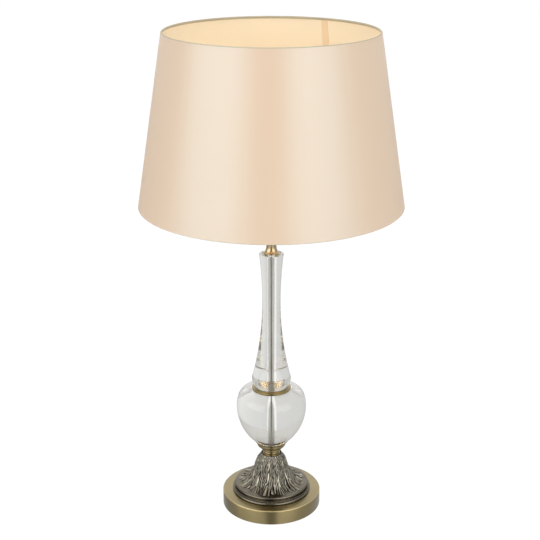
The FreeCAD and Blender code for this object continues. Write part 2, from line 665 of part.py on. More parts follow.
def column_glass():
    """Solid crystal trumpet: a rounded foot, a crease, and one long hollow flare to each end."""
    bun_z = column_foot_z + column_bun_rise
    crease_z = bun_z + column_crease_rise
    waist_z = column_foot_z + column_waist_rise
    rim_z = column_top_z - column_bevel
    foot_radius = column_bun_radius - column_bun_curve + square_root(
        column_bun_curve * column_bun_curve - column_bun_rise * column_bun_rise)
    crease_radius = column_bun_radius - column_crease_curve + square_root(
        column_crease_curve * column_crease_curve - column_crease_rise * column_crease_rise)
    return turned("ColumnGlass", [
        (crystal_bore_radius, column_foot_z), (foot_radius, column_foot_z),
        (column_bun_radius, bun_z, column_bun_curve), (crease_radius, crease_z, column_crease_curve),
        (column_waist_radius, waist_z,
         -hollow_curve(crease_radius, column_waist_radius, waist_z - crease_z)),
        (column_top_radius, rim_z,
         -hollow_curve(column_top_radius, column_waist_radius, rim_z - waist_z)),
        (column_top_radius - column_bevel, column_top_z), (crystal_bore_radius, column_top_z)])


def neck():
    """Brass trumpet: a rounded foot on the crystal, a hollow curve, and a band at the top."""
    recess = washer_radius + fit_gap
    flare_z = neck_foot_z + neck_flange_height
    waist_z = flare_z + neck_flare_height
    band_z = holder_foot_z - neck_top_height
    return turned("Neck", [
        (rod_hole, neck_foot_z + washer_sink), (recess, neck_foot_z + washer_sink),
        (recess, neck_foot_z)]
        + rounded(neck_flange_radius, neck_foot_z, neck_flange_height)
        + [(neck_flare_radius, flare_z),
           (neck_waist_radius, waist_z,
            -hollow_curve(neck_flare_radius, neck_waist_radius, neck_flare_height)),
           (neck_top_radius, band_z,
            -hollow_curve(neck_top_radius, neck_waist_radius, band_z - waist_z)),
           (neck_top_radius, holder_foot_z), (rod_hole, holder_foot_z)])


def bound_cylinder(name, radius, height, foot, across=0):
    cylinder = DOC.addObject("Part::Cylinder", name)
    cylinder.setExpression("Radius", radius.text)
    cylinder.setExpression("Height", height.text)
    cylinder.setExpression("Placement.Base.z", foot.text)
    if isinstance(across, Size):
        cylinder.setExpression("Placement.Base.x", across.text)
    return cylinder


def glass_washers():
    """Four like clear washers, one at each place where crystal meets brass."""
    feet = (cup_floor_z - washer_sink, urn_top_z, glass_ring_top_z - washer_sink, column_top_z)
    rings = []
    for count, foot in enumerate(feet):
        ring = DOC.addObject("Part::Cut", "ClearWasher%d" % count)
        ring.Base = bound_cylinder("WasherDisc%d" % count, washer_radius, washer_thickness, foot)
        ring.Tool = bound_cylinder("WasherHole%d" % count, rod_hole, washer_thickness, foot)
        rings.append(ring)
    group = DOC.addObject("Part::Compound", "ClearWashers")
    group.Links = rings
    return group


# ---------------------------------------------------------------- lampholder
def holder_cap():
    """Lower brass shell: a domed cup with the threaded boss that screws down on the rod."""
    inner = holder_radius - holder_wall
    dome_z = holder_foot_z + holder_dome_height
    floor_z = holder_foot_z + holder_wall
    boss_top_z = holder_foot_z + holder_boss_height
    return turned("HolderCap", [
        (rod_radius + thread_gap, holder_foot_z), (holder_foot_radius, holder_foot_z),
        (holder_radius, dome_z, holder_dome_curve), (holder_radius, cap_edge_z),
        (inner, cap_edge_z), (inner, dome_z),
        (holder_foot_radius, floor_z, -(holder_dome_curve - holder_wall)),
        (holder_boss_radius, floor_z), (holder_boss_radius, boss_top_z),
        (rod_radius + thread_gap, boss_top_z)])


def holder_body():
    """Upper brass shell: a spigot in the cap, the shade's shoulder and the outer thread."""
    spigot = holder_radius - holder_wall - thread_gap
    inner = spigot - holder_wall
    body_top_z = cap_edge_z + holder_body_height
    return turned("HolderBody", [
        (inner, cap_edge_z - holder_spigot), (spigot, cap_edge_z - holder_spigot),
        (spigot, cap_edge_z), (holder_radius, cap_edge_z),
        (holder_radius, seat_z - shoulder_thickness), (shoulder_radius, seat_z - shoulder_thickness),
        (shoulder_radius, seat_z), (holder_thread_radius, seat_z),
        (holder_thread_radius, body_top_z), (holder_mouth_radius, body_top_z),
        (holder_mouth_radius, body_top_z - holder_wall), (inner, body_top_z - holder_wall * 3)])


def holder_insert():
    return tube("HolderInsert", wire_hole_radius, insert_radius, insert_foot_z, insert_top_z)


def screw_shell():
    """Sheet-brass shell that takes the bulb's screw cap, turned in at its foot."""
    outer = shell_radius + shell_wall
    shell_top_z = insert_top_z + shell_height
    return turned("ScrewShell", [
        (shell_foot_radius, insert_top_z), (outer, insert_top_z), (outer, shell_top_z),
        (shell_radius, shell_top_z), (shell_radius, insert_top_z + shell_wall),
        (shell_foot_radius, insert_top_z + shell_wall)])


TONGUE_ARCH_SHARE = 0.6


def centre_contact():
    """Spring tongue: a strip that lies on the insert and rises in an arch under the bulb's tip."""
    body = DOC.addObject("PartDesign::Body", "CentreContact")
    sketch = new_sketch(body, "TongueProfile", "XZ_Plane")
    arch = tongue_rise - tongue_thickness
    half_arch = tongue_length * TONGUE_ARCH_SHARE
    curve = (half_arch * half_arch + arch * arch) / (arch * 2)
    top_z = insert_top_z + tongue_thickness
    outline(sketch, [
        (-tongue_length, insert_top_z), (-half_arch, insert_top_z),
        (half_arch, insert_top_z, -curve), (tongue_length, insert_top_z), (tongue_length, top_z),
        (half_arch, top_z), (-half_arch, top_z, curve), (-tongue_length, top_z)])
    pad = body.newObject("PartDesign::Pad", "TonguePad")
    pad.Profile = sketch
    pad.Midplane = True
    pad.setExpression("Length", tongue_width.text)
    return body


def terminal_screws():
    screws = DOC.addObject("Part::Compound", "TerminalScrews")
    foot = insert_foot_z - terminal_length
    screws.Links = [
        bound_cylinder("TerminalLeft", terminal_radius, terminal_length, foot, -terminal_offset),
        bound_cylinder("TerminalRight", terminal_radius, terminal_length, foot, terminal_offset)]
    return screws


# ---------------------------------------------------------------- shade
shade_slope = (shade_bottom_radius - shade_top_radius) / shade_height
roll_inset = (cover_thickness + glue_line
              + roll_radius * square_root(shade_slope * shade_slope + 1))
bottom_edge_radius = shade_bottom_radius - shade_slope * roll_radius - roll_inset
bottom_edge_z = shade_foot_z + roll_radius
top_edge_radius = shade_top_radius + shade_slope * roll_radius - roll_inset
top_edge_z = shade_top_z - roll_radius


def shade_wall(name, outer_step, inner_step, edge):
    """One layer of the shade's cone, between two distances in from its outside, short of the
    shade's own edges by the same height at both ends."""
    bottom = shade_bottom_radius - shade_slope * edge
    top = shade_top_radius + shade_slope * edge
    foot, head = shade_foot_z + edge, shade_top_z - edge
    return turned(name, [(bottom - inner_step, foot), (bottom - outer_step, foot),
                         (top - outer_step, head), (top - inner_step, head)])


def edge_roll(name, radius, height_z):
    """Rolled fabric round the rim: a ring with a round hollow for its wire."""
    body = DOC.addObject("PartDesign::Body", name)
    sketch = new_sketch(body, name + "Section", "XZ_Plane")
    bound_circle(sketch, radius, height_z, roll_radius)
    bound_circle(sketch, radius, height_z, wire_radius + wire_slack)
    swing = body.newObject("PartDesign::Revolution", name + "Turned")
    swing.Profile = sketch
    swing.ReferenceAxis = (sketch, ["V_Axis"])
    swing.Angle = 360
    return body


def edge_wire(name, radius, height_z):
    wire = DOC.addObject("Part::Torus", name)
    wire.setExpression("Radius1", radius.text)
    wire.setExpression("Radius2", wire_radius.text)
    wire.setExpression("Placement.Base.z", height_z.text)
    return wire


def shade_fitter():
    """Ring that sits on the lampholder's shoulder, with wire spokes out to the bottom edge."""
    body = turned("ShadeFitter", [
        (fitter_ring_bore, seat_z), (fitter_ring_radius, seat_z),
        (fitter_ring_radius, clamp_foot_z), (fitter_ring_bore, clamp_foot_z)])
    sketch = new_sketch(body, "SpokeProfile", "XZ_Plane")
    start = (fitter_ring_radius - fit_gap, seat_z + fitter_ring_thickness / 2)
    reach = bottom_edge_radius - roll_radius - fit_gap - start[0]
    climb = bottom_edge_z - start[1]
    length = square_root(reach * reach + climb * climb)
    end = (start[0] + reach, start[1] + climb)
    aside = (-(climb / length) * spoke_radius, reach / length * spoke_radius)
    outline(sketch, [start, end, (end[0] + aside[0], end[1] + aside[1]),
                     (start[0] + aside[0], start[1] + aside[1])])
    DOC.recompute()
    spoke = swing_round_line(body, sketch, start, end)
    DOC.recompute()
    polar_copies(body, spoke, spoke_count)
    return body


def shade_ring():
    """Threaded ring that clamps the fitter, with finger notches round its edge."""
    body = tube("ShadeRing", holder_thread_radius + thread_gap, clamp_radius,
                clamp_foot_z, clamp_foot_z + clamp_height)
    sketch = new_sketch(body, "GripNotch", "XY_Plane")
    bound_circle(sketch, clamp_radius + grip_radius - grip_depth, 0, grip_radius)
    DOC.recompute()
    whole = body.Shape.Volume
    notch = body.newObject("PartDesign::Pocket", "GripPocket")
    notch.Profile = sketch
    notch.Type = 1
    notch.Reversed = True
    DOC.recompute()
    if notch.Shape.Volume >= whole:
        raise RuntimeError("the finger notch cuts nothing")
    polar_copies(body, notch, grip_count)
    return body


# ---------------------------------------------------------------- bulb
JOIN_COSINE = math.cos(math.radians(40))
JOIN_SINE = math.sin(math.radians(40))


def bulb_globe():
    """Opal globe: a sphere that runs into a neck through one hollow curve, as a thin wall."""
    centre_z = bulb_foot_z + bulb_length - bulb_radius
    join_radius = bulb_radius * JOIN_COSINE
    curve = (join_radius - bulb_neck_radius) / (1 - JOIN_COSINE)
    neck_top_z = centre_z - bulb_radius * JOIN_SINE - curve * JOIN_SINE
    inner = bulb_radius - bulb_wall
    inner_neck = bulb_neck_radius - bulb_wall
    return turned("BulbGlobe", [
        (inner_neck, bulb_globe_z), (bulb_neck_radius, bulb_globe_z),
        (bulb_neck_radius, neck_top_z),
        (join_radius, centre_z - bulb_radius * JOIN_SINE, -curve),
        (bulb_radius, centre_z, bulb_radius), (0, centre_z + bulb_radius, bulb_radius),
        (0, centre_z + inner), (inner, centre_z, -inner),
        (inner * JOIN_COSINE, centre_z - inner * JOIN_SINE, -inner),
        (inner_neck, neck_top_z, curve + bulb_wall)])


def bulb_cap():
    """Screw cap: a thin shell that closes in to the insulator."""
    cone = bulb_cap_z + bulb_insulator_height * 2
    inner = bulb_cap_radius - bulb_cap_wall
    top_z = bulb_cap_z + bulb_cap_height
    return turned("BulbCap", [
        (bulb_insulator_radius - bulb_cap_wall, bulb_cap_z), (bulb_insulator_radius, bulb_cap_z),
        (bulb_cap_radius, cone), (bulb_cap_radius, top_z), (inner, top_z), (inner, cone),
        (bulb_insulator_radius - bulb_cap_wall, bulb_cap_z + bulb_cap_wall)])


def bulb_insulator():
    foot = bulb_foot_z + bulb_tip_height
    return turned("BulbInsulator", [
        (0, foot), (bulb_tip_radius, foot), (bulb_insulator_radius, bulb_cap_z), (0, bulb_cap_z)])


def bulb_contact():
    top_z = bulb_foot_z + bulb_tip_height
    return turned("BulbContact", [
        (0, bulb_foot_z), (bulb_tip_radius / 2, bulb_foot_z), (bulb_tip_radius, top_z), (0, top_z)])


# ---------------------------------------------------------------- the lamp, from the table up
finished(base_felt(), "base_felt")
finished(base_disc(), "base_disc")
finished(base_weight(), "base_weight")
finished(cord_bushing(), "cord_bushing")
finished(tube("ThreadedRod", rod_bore_radius, rod_radius, nut_foot_z - rod_tail, insert_foot_z),
         "threaded_rod")
finished(rod_nut(), "rod_nut")
finished(tube("LockWasher", rod_hole, lock_washer_radius, lock_washer_z, rod_washer_z),
         "lock_washer")
finished(tube("RodWasher", rod_hole, rod_washer_radius, rod_washer_z, nut_ceiling_z), "rod_washer")
finished(beaded_ring(), "beaded_ring")
finished(leaf_skirt(), "leaf_skirt")
finished(spool_collar(), "spool_collar")
finished(urn_cup(), "urn_cup")
finished(urn_glass(), "urn_glass")
finished(glass_ring(), "glass_ring")
finished(column_glass(), "column_glass")
finished(glass_washers(), "glass_washers")
finished(neck(), "neck")
finished(holder_cap(), "holder_cap")
finished(holder_body(), "holder_body")
finished(holder_insert(), "holder_insert")
finished(screw_shell(), "screw_shell")
finished(centre_contact(), "centre_contact")
finished(terminal_screws(), "terminal_screws")
finished(shade_wall("ShadeCover", 0, cover_thickness, roll_radius), "shade_cover")
finished(shade_wall("ShadeLiner", cover_thickness, cover_thickness + liner_thickness,
                    roll_radius * 2), "shade_liner")
finished(edge_roll("TopRoll", top_edge_radius, top_edge_z), "top_roll")
finished(edge_roll("BottomRoll", bottom_edge_radius, bottom_edge_z), "bottom_roll")
finished(edge_wire("TopWire", top_edge_radius, top_edge_z), "top_wire")
finished(edge_wire("BottomWire", bottom_edge_radius, bottom_edge_z), "bottom_wire")
finished(shade_fitter(), "shade_fitter")
finished(shade_ring(), "shade_ring")
finished(bulb_globe(), "bulb_globe")
finished(bulb_cap(), "bulb_cap")
finished(bulb_insulator(), "bulb_insulator")
finished(bulb_contact(), "bulb_contact")

DOC.recompute()
for item in DOC.Objects:
    if "Invalid" in item.State or "Error" in item.State:
        raise RuntimeError("%s failed: %s" % (item.Label, item.State))
for part in SUB_PARTS:
    if part.Shape.isNull() or not part.Shape.isValid() or not part.Shape.Solids:
        raise RuntimeError(part.Label + " has no valid solid")

os.makedirs("parts", exist_ok=True)
for part in SUB_PARTS:
    part.Shape.exportStep("parts/%s.step" % part.Label)
    box = part.Shape.BoundBox
    print("%-16s %d solid(s) %10.0f mm3  r %6.2f  z %7.2f to %7.2f" % (
        part.Label, len(part.Shape.Solids), part.Shape.Volume, box.XMax, box.ZMin, box.ZMax))
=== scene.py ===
"""Candlestick table lamp: a crystal urn and column on a cast leaf skirt and a brass base, under a
tapered satin shade.

The script follows the lamp from the table up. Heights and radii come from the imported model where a
piece has a node of its own, and the rest are real sizes, written in millimetres times MM."""
import math

import bpy
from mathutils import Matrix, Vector, noise


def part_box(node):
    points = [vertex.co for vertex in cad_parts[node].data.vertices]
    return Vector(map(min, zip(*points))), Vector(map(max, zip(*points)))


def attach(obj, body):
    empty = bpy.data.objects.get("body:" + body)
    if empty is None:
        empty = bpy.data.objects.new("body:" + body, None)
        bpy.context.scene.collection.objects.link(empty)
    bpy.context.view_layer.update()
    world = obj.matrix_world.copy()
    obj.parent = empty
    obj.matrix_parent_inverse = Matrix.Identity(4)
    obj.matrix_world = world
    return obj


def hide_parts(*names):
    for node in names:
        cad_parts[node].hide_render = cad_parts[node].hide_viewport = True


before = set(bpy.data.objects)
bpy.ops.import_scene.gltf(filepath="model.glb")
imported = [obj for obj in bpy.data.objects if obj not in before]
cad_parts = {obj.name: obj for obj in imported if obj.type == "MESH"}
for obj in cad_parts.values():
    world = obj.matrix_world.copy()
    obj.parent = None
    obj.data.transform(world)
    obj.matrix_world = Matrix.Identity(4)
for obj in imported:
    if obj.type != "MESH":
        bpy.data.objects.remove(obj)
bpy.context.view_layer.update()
MM = 0.001

# ---------------------------------------------------------------- felt pad
# Pressed wool felt, glued under the base so that the brass doesn't scratch the table. Only its edge
# can be seen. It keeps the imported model's shape.


def linear(code):
    """An sRGB hex colour as the linear value that a shader takes."""
    shares = [int(code[place:place + 2], 16) / 255 for place in (0, 2, 4)]
    return [share / 12.92 if share <= 0.04045 else ((share + 0.055) / 1.055) ** 2.4
            for share in shares] + [1.0]


def add_node(material, kind, settings=(), links=()):
    """Add a shader node: settings by property or input, links as input: (source, output)."""
    made = material.node_tree.nodes.new(kind)
    for name, value in dict(settings).items():
        if isinstance(name, int) or name in made.inputs.keys():
            made.inputs[name].default_value = value
        else:
            setattr(made, name, value)
    for name, (source, output) in dict(links).items():
        material.node_tree.links.new(source.outputs[output], made.inputs[name])
    return made


def new_finish(name, settings):
    """A material with its main shader's own sockets set, ready for patterns."""
    material = bpy.data.materials.new(name)
    material.use_nodes = True
    shader = material.node_tree.nodes["Principled BSDF"]
    for socket, value in settings.items():
        shader.inputs[socket].default_value = value
    return material, shader


def drive(material, shader, socket, source, output):
    """Let a node's output set one socket of another node."""
    material.node_tree.links.new(source.outputs[output], shader.inputs[socket])


def wear(node, material):
    """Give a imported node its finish."""
    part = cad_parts[node]
    part.data.materials.clear()
    part.data.materials.append(material)


def grained(material, shader, size, detail, strength, height, stretch=(1.0, 1.0, 1.0)):
    """Relief with a grain, such as matted fibres or sand, that may be drawn out along an axis."""
    place = add_node(material, "ShaderNodeTexCoord")
    drawn = add_node(material, "ShaderNodeMapping", {"Scale": stretch},
                     {"Vector": (place, "Object")})
    grain = add_node(material, "ShaderNodeTexNoise", {"Scale": 1 / size, "Detail": detail},
                     {"Vector": (drawn, "Vector")})
    bump = add_node(material, "ShaderNodeBump", {"Strength": strength, "Distance": height},
                    {"Height": (grain, "Fac")})
    drive(material, shader, "Normal", bump, "Normal")


# Wool felt: matted fibres about 0.3 mm across, quite without gloss.
felt, felt_shader = new_finish("black wool felt", {
    "Base Color": linear("1D1A18"), "Roughness": 0.95, "Sheen Weight": 0.3})
grained(felt, felt_shader, size=0.6 * MM, detail=4.0, strength=0.5, height=0.2 * MM)
wear("base_felt", felt)

# ---------------------------------------------------------------- base disc
# Spun sheet brass with an antique finish, closed below by the ballast. The lathe leaves fine lines
# round the axis, and the top edge is chamfered, rubbed through to brighter metal and painted lighter
# still as a highlight.


def span(node):
    """Foot height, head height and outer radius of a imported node."""
    low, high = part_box(node)
    return low.z, high.z, max(high.x, -low.x, high.y, -low.y)


def bow(start, end, radius, pieces=16):
    """Stops along an arc between two (radius, height) stops. A negative radius hollows it."""
    chord = math.dist(start, end)
    side = math.copysign(1, radius)
    reach = math.sqrt(max(0.0, radius * radius - chord * chord / 4))
    outward = ((end[1] - start[1]) / chord, (start[0] - end[0]) / chord)
    centre = [(a + b) / 2 - side * reach * out for a, b, out in zip(start, end, outward)]
    first = math.atan2(start[1] - centre[1], start[0] - centre[0])
    last = math.atan2(end[1] - centre[1], end[0] - centre[0])
    turn = (last - first + math.pi) % (2 * math.pi) - math.pi
    return [(centre[0] + abs(radius) * math.cos(first + turn * step / pieces),
             centre[1] + abs(radius) * math.sin(first + turn * step / pieces))
            for step in range(pieces + 1)]


def eased(stops, edge, pieces=3):
    """The same outline with each of its corners rounded over by a small edge radius."""
    count = len(stops)
    made = []
    for place, corner in enumerate(stops):
        before, after = Vector(stops[place - 1]), Vector(stops[(place + 1) % count])
        here = Vector(corner)
        arm = min(edge, (before - here).length * 0.45, (after - here).length * 0.45)
        start = here + (before - here).normalized() * arm
        end = here + (after - here).normalized() * arm
        for step in range(pieces + 1):
            share = step / pieces
            made.append(tuple(start * (1 - share) ** 2 + here * 2 * share * (1 - share)
                              + end * share ** 2))
    return made


# Points nearer to each other than this are joined into one.
weld = 0.002 * MM


def turned(name, stops, turns=192, sharp=30):
    """Turn a closed outline round the lamp's axis, as on a lathe."""
    bpy.ops.object.select_all(action="DESELECT")
    bpy.ops.mesh.primitive_plane_add(size=MM)
    piece = bpy.context.object
    piece.name = name
    bpy.ops.object.mode_set(mode="EDIT")
    bpy.ops.mesh.merge(type="CENTER")
    here = Vector((0, 0, 0))
    first = Vector((stops[0][0], 0, stops[0][1]))
    bpy.ops.transform.translate(value=first - here)
    here = first
    for radius, height in stops[1:] + stops[:1]:
        there = Vector((radius, 0, height))
        bpy.ops.mesh.extrude_region_move(TRANSFORM_OT_translate={"value": there - here})
        here = there
    bpy.ops.mesh.select_all(action="SELECT")
    bpy.ops.mesh.remove_doubles(threshold=weld)
    bpy.ops.mesh.spin(steps=turns, angle=2 * math.pi, center=(0, 0, 0), axis=(0, 0, 1))
    bpy.ops.mesh.select_all(action="SELECT")
    bpy.ops.mesh.remove_doubles(threshold=weld)
    bpy.ops.mesh.normals_make_consistent(inside=False)
    bpy.ops.object.mode_set(mode="OBJECT")
    bpy.ops.object.shade_smooth_by_angle(angle=math.radians(sharp))
    return piece


def fit(piece, body, slot, material, *nodes):
    """Finish a new piece: its material, the body it rides on and the nodes it stands for."""
    piece.data.materials.clear()
    piece.data.materials.append(material)
    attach(piece, body)
    if nodes:
        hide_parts(*nodes)
    return piece


def lathe_lines(material, shader, pitch, depth, low, high):
    """Fine rings round the axis: they follow the distance from it and the height along it."""
    place = add_node(material, "ShaderNodeTexCoord")
    parts = add_node(material, "ShaderNodeSeparateXYZ", {}, {"Vector": (place, "Object")})
    across = add_node(material, "ShaderNodeCombineXYZ", {}, {"X": (parts, "X"), "Y": (parts, "Y")})
    length = add_node(material, "ShaderNodeVectorMath", {"operation": "LENGTH"},
                      {0: (across, "Vector")})
    rings = add_node(material, "ShaderNodeCombineXYZ", {},
                     {"X": (length, "Value"), "Y": (parts, "Z")})
    lines = add_node(material, "ShaderNodeTexNoise", {"Scale": 1 / pitch, "Detail": 3.0},
                     {"Vector": (rings, "Vector")})
    gloss = add_node(material, "ShaderNodeMapRange", {"To Min": low, "To Max": high},
                     {"Value": (lines, "Fac")})
    bump = add_node(material, "ShaderNodeBump", {"Strength": 0.25, "Distance": depth},
                    {"Height": (lines, "Fac")})
    drive(material, shader, "Roughness", gloss, "Result")
    drive(material, shader, "Normal", bump, "Normal")
    return place


def clouded(material, shader, place, dark, light, size):
    """Colour that drifts between two tones, as a patina does."""
    cloud = add_node(material, "ShaderNodeTexNoise", {"Scale": 1 / size, "Detail": 5.0},
                     {"Vector": (place, "Object")})
    tones = add_node(material, "ShaderNodeMix", {"data_type": "RGBA", 6: dark, 7: light},
                     {0: (cloud, "Fac")})
    drive(material, shader, "Base Color", tones, 2)


# Antique brass: darkened sheet brass under a clear lacquer. Its lathe lines, 0.2 mm apart, are
# drawn 0.5 mm apart, which is as fine as the picture shows, and spread its reflections round the
# axis.
antique, antique_shader = new_finish("satin antique brass", {
    "Metallic": 1.0, "Anisotropic": 0.9, "Anisotropic Rotation": 0.25, "Coat Weight": 1.0,
    "Coat Roughness": 0.2})
antique_place = lathe_lines(antique, antique_shader, 0.5 * MM, 0.02 * MM, 0.26, 0.34)
clouded(antique, antique_shader, antique_place, linear("8F7F52"), linear("A39363"), 30 * MM)

base_foot, base_top, base_radius = span("base_disc")
base_wall = 1.5 * MM
base_chamfer = 1.1 * MM
base_edge = 0.25 * MM
rod_hole = 4.3 * MM
inlet_hole = 4.4 * MM
inlet_drilling = 20 * MM
base_disc = turned("base_disc_spun", eased([
    (rod_hole, base_top - base_wall), (base_radius - base_wall, base_top - base_wall),
    (base_radius - base_wall, base_foot), (base_radius, base_foot),
    (base_radius, base_top - base_chamfer), (base_radius - base_chamfer, base_top),
    (rod_hole, base_top)], base_edge))
inlet_low, inlet_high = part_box("cord_bushing")
inlet_axis = (inlet_low.z + inlet_high.z) / 2
bpy.ops.object.select_all(action="DESELECT")
bpy.ops.mesh.primitive_cylinder_add(vertices=48, radius=inlet_hole, depth=inlet_drilling,
                                    location=(0, base_radius, inlet_axis),
                                    rotation=(math.pi / 2, 0, 0))
inlet_drill = bpy.context.object
drilled = base_disc.modifiers.new("inlet", "BOOLEAN")
drilled.object = inlet_drill
drilled.operation = "DIFFERENCE"
bpy.ops.object.select_all(action="DESELECT")
base_disc.select_set(True)
bpy.context.view_layer.objects.active = base_disc
bpy.ops.object.modifier_apply(modifier="inlet")
bpy.data.objects.remove(inlet_drill)
bpy.ops.object.shade_smooth_by_angle(angle=math.radians(30))
fit(base_disc, "stand", "base_disc", antique, "base_disc")

# The same brass, rubbed bright along the chamfer and painted lighter there: a painted highlight.
chamfer_wear_and_highlight, _ = new_finish("rubbed brass edge with painted highlight", {
    "Base Color": linear("CDBB8B"), "Metallic": 1.0, "Roughness": 0.3})
base_disc.data.materials.append(chamfer_wear_and_highlight)
# The slanted faces at the rim take the lighter brass, the painted highlight on the chamfer.
for face in base_disc.data.polygons:
    on_edge = math.hypot(face.center.x, face.center.y) > base_radius - 1.5 * base_chamfer
    slanted = 0.15 < face.normal.z < 0.97
    face.material_index = 1 if on_edge and slanted else 0

# ---------------------------------------------------------------- ballast, inlet bush, rod and nut
# Hidden in the base: a painted iron weight, a black nylon bush where the cord would come in, and
# the plated steel pipe that draws the whole stack together between its nut and the lampholder.

# Cast iron under a coat of black paint: a sandy skin with a grain of about 1.5 mm.
iron, iron_shader = new_finish("painted cast iron", {
    "Base Color": linear("2A2A2A"), "Roughness": 0.7})
grained(iron, iron_shader, size=1.5 * MM, detail=5.0, strength=0.4, height=0.4 * MM)
wear("base_weight", iron)

# Nylon: a moulded black plastic with a soft, even gloss.
nylon, _ = new_finish("black moulded nylon", {
    "Base Color": linear("0E0E0E"), "Roughness": 0.42, "IOR": 1.53})


def dressed_copy(node, body, material, sharp=30):
    """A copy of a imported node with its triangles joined, so that its round faces shade smoothly."""
    bpy.ops.object.select_all(action="DESELECT")
    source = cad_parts[node]
    piece = bpy.data.objects.new(node + "_smooth", source.data.copy())
    bpy.context.scene.collection.objects.link(piece)
    piece.select_set(True)
    bpy.context.view_layer.objects.active = piece
    bpy.ops.object.mode_set(mode="EDIT")
    bpy.ops.mesh.select_all(action="SELECT")
    bpy.ops.mesh.remove_doubles(threshold=weld)
    bpy.ops.object.mode_set(mode="OBJECT")
    bpy.ops.object.shade_smooth_by_angle(angle=math.radians(sharp))
    return fit(piece, body, node, material, node)


dressed_copy("cord_bushing", "stand", nylon)

# Bright zinc-plated steel: its thread spreads reflections along the rod and leaves them sharp
# round it.
zinc, zinc_shader = new_finish("bright zinc plated steel", {
    "Base Color": linear("D2D1CC"), "Metallic": 1.0, "Anisotropic": 0.85,
    "Anisotropic Rotation": 0.25})
lathe_lines(zinc, zinc_shader, 2.5 * MM, 0.002 * MM, 0.28, 0.34)
for fastener in ("threaded_rod", "rod_nut", "lock_washer", "rod_washer", "terminal_screws"):
    dressed_copy(fastener, "stand", zinc)

# ---------------------------------------------------------------- beaded ring
# Zinc-alloy casting between the base and the skirt, plated and darkened to an old bronze: a rounded
# foot, a fine row of beads, and a shadow line under the skirt's plate.

# Antiqued bronze plate: darkened all over, then rubbed, so it reflects as a warm dark grey metal.
bronze, bronze_shader = new_finish("antiqued bronze plate", {"Metallic": 1.0})
bronze_place = lathe_lines(bronze, bronze_shader, 0.7 * MM, 0.01 * MM, 0.16, 0.28)
clouded(bronze, bronze_shader, bronze_place, linear("69645A"), linear("858074"), 9 * MM)

ring_foot, ring_top, ring_foot_radius = span("beaded_ring")
ring_inner = 44 * MM
ring_torus = 4 * MM
band_radius = 53.4 * MM
bead_count = 116
bead_radius = 1.02 * MM
shadow = 1.1 * MM
# The curve of a half-round edge is hardly more than half its height.
half_round = 0.51
torus_bulge = ring_torus * 0.43
band = turned("beaded_ring_body", [(ring_inner, ring_foot)]
    + bow((ring_foot_radius - torus_bulge, ring_foot),
          (ring_foot_radius - torus_bulge, ring_foot + ring_torus), ring_torus * half_round)
    + [(band_radius, ring_foot + ring_torus), (band_radius, ring_top - shadow),
       (band_radius - 2 * shadow, ring_top - shadow), (band_radius - 2 * shadow, ring_top),
       (ring_inner, ring_top)], turns=256)
fit(band, "stand", "beaded_ring", bronze, "beaded_ring")

bead_z = (ring_foot + ring_torus + ring_top - shadow) / 2
bpy.ops.object.select_all(action="DESELECT")
bpy.ops.mesh.primitive_ico_sphere_add(subdivisions=1, radius=bead_radius)
beads = bpy.context.object
beads.name = "bead_row"
bpy.ops.object.mode_set(mode="EDIT")
bpy.ops.mesh.select_all(action="SELECT")
bpy.ops.mesh.subdivide(number_cuts=1, smoothness=1.0)
bpy.ops.transform.translate(value=(band_radius, 0, bead_z))
bpy.ops.mesh.spin(steps=bead_count, dupli=True, angle=2 * math.pi, center=(0, 0, 0),
                  axis=(0, 0, 1))
bpy.ops.mesh.select_all(action="SELECT")
bpy.ops.mesh.remove_doubles(threshold=weld)
bpy.ops.object.mode_set(mode="OBJECT")
bpy.ops.object.shade_smooth_by_angle(angle=math.radians(80))
fit(beads, "stand", "beaded_ring", bronze)

# ---------------------------------------------------------------- leaf skirt
# The same casting alloy: a round plate that carries a bell of overlapping leaves, six large ones
# with small ones between, all cut with fine drooping veins. Their tips curl off the plate.
plate_foot, skirt_top, plate_radius = span("leaf_skirt")
plate_thickness = 3.7 * MM
plate_hole = 36 * MM
plate_top = plate_foot + plate_thickness
plate_bulge = plate_thickness * 0.41
plate = turned("skirt_plate", [(plate_hole, plate_foot)]
    + bow((plate_radius - plate_bulge, plate_foot), (plate_radius - plate_bulge, plate_top),
          plate_thickness * half_round)
    + [(plate_hole, plate_top)], turns=256)
fit(plate, "stand", "leaf_skirt", bronze, "leaf_skirt")

bell_height = skirt_top - plate_top
bell_top_radius = 14.8 * MM
shoulder_height = 37 * MM
hip_height = 25 * MM
hip_radius = 24.6 * MM
flank_slope = 0.33
valley_radius = 41 * MM
tip_radius = 47 * MM
leaf_pairs = 6
leaf_turn = math.radians(81)
relief = 1.8 * MM
vein_depth = 1.5 * MM
veins = 3.2
tip_band = 8 * MM
tip_curl = 1.3 * MM
tip_fray = 5.5 * MM
tip_unevenness = 3.0 * MM
small_leaf_short = 2 * MM


def bell(height):
    """Crest of the bell at a height over the plate: a flank flared below, a rounded shoulder."""
    below = hip_height - height
    flank = hip_radius + flank_slope * below
    spare = valley_radius - hip_radius - flank_slope * hip_height
    flank += spare * (max(0.0, below) / hip_height) ** 3
    if height <= shoulder_height:
        return flank
    rise = min(1.0, (height - shoulder_height) / (bell_height - shoulder_height))
    return bell_top_radius + (flank - bell_top_radius) * (1 - rise ** 2) ** 1.5


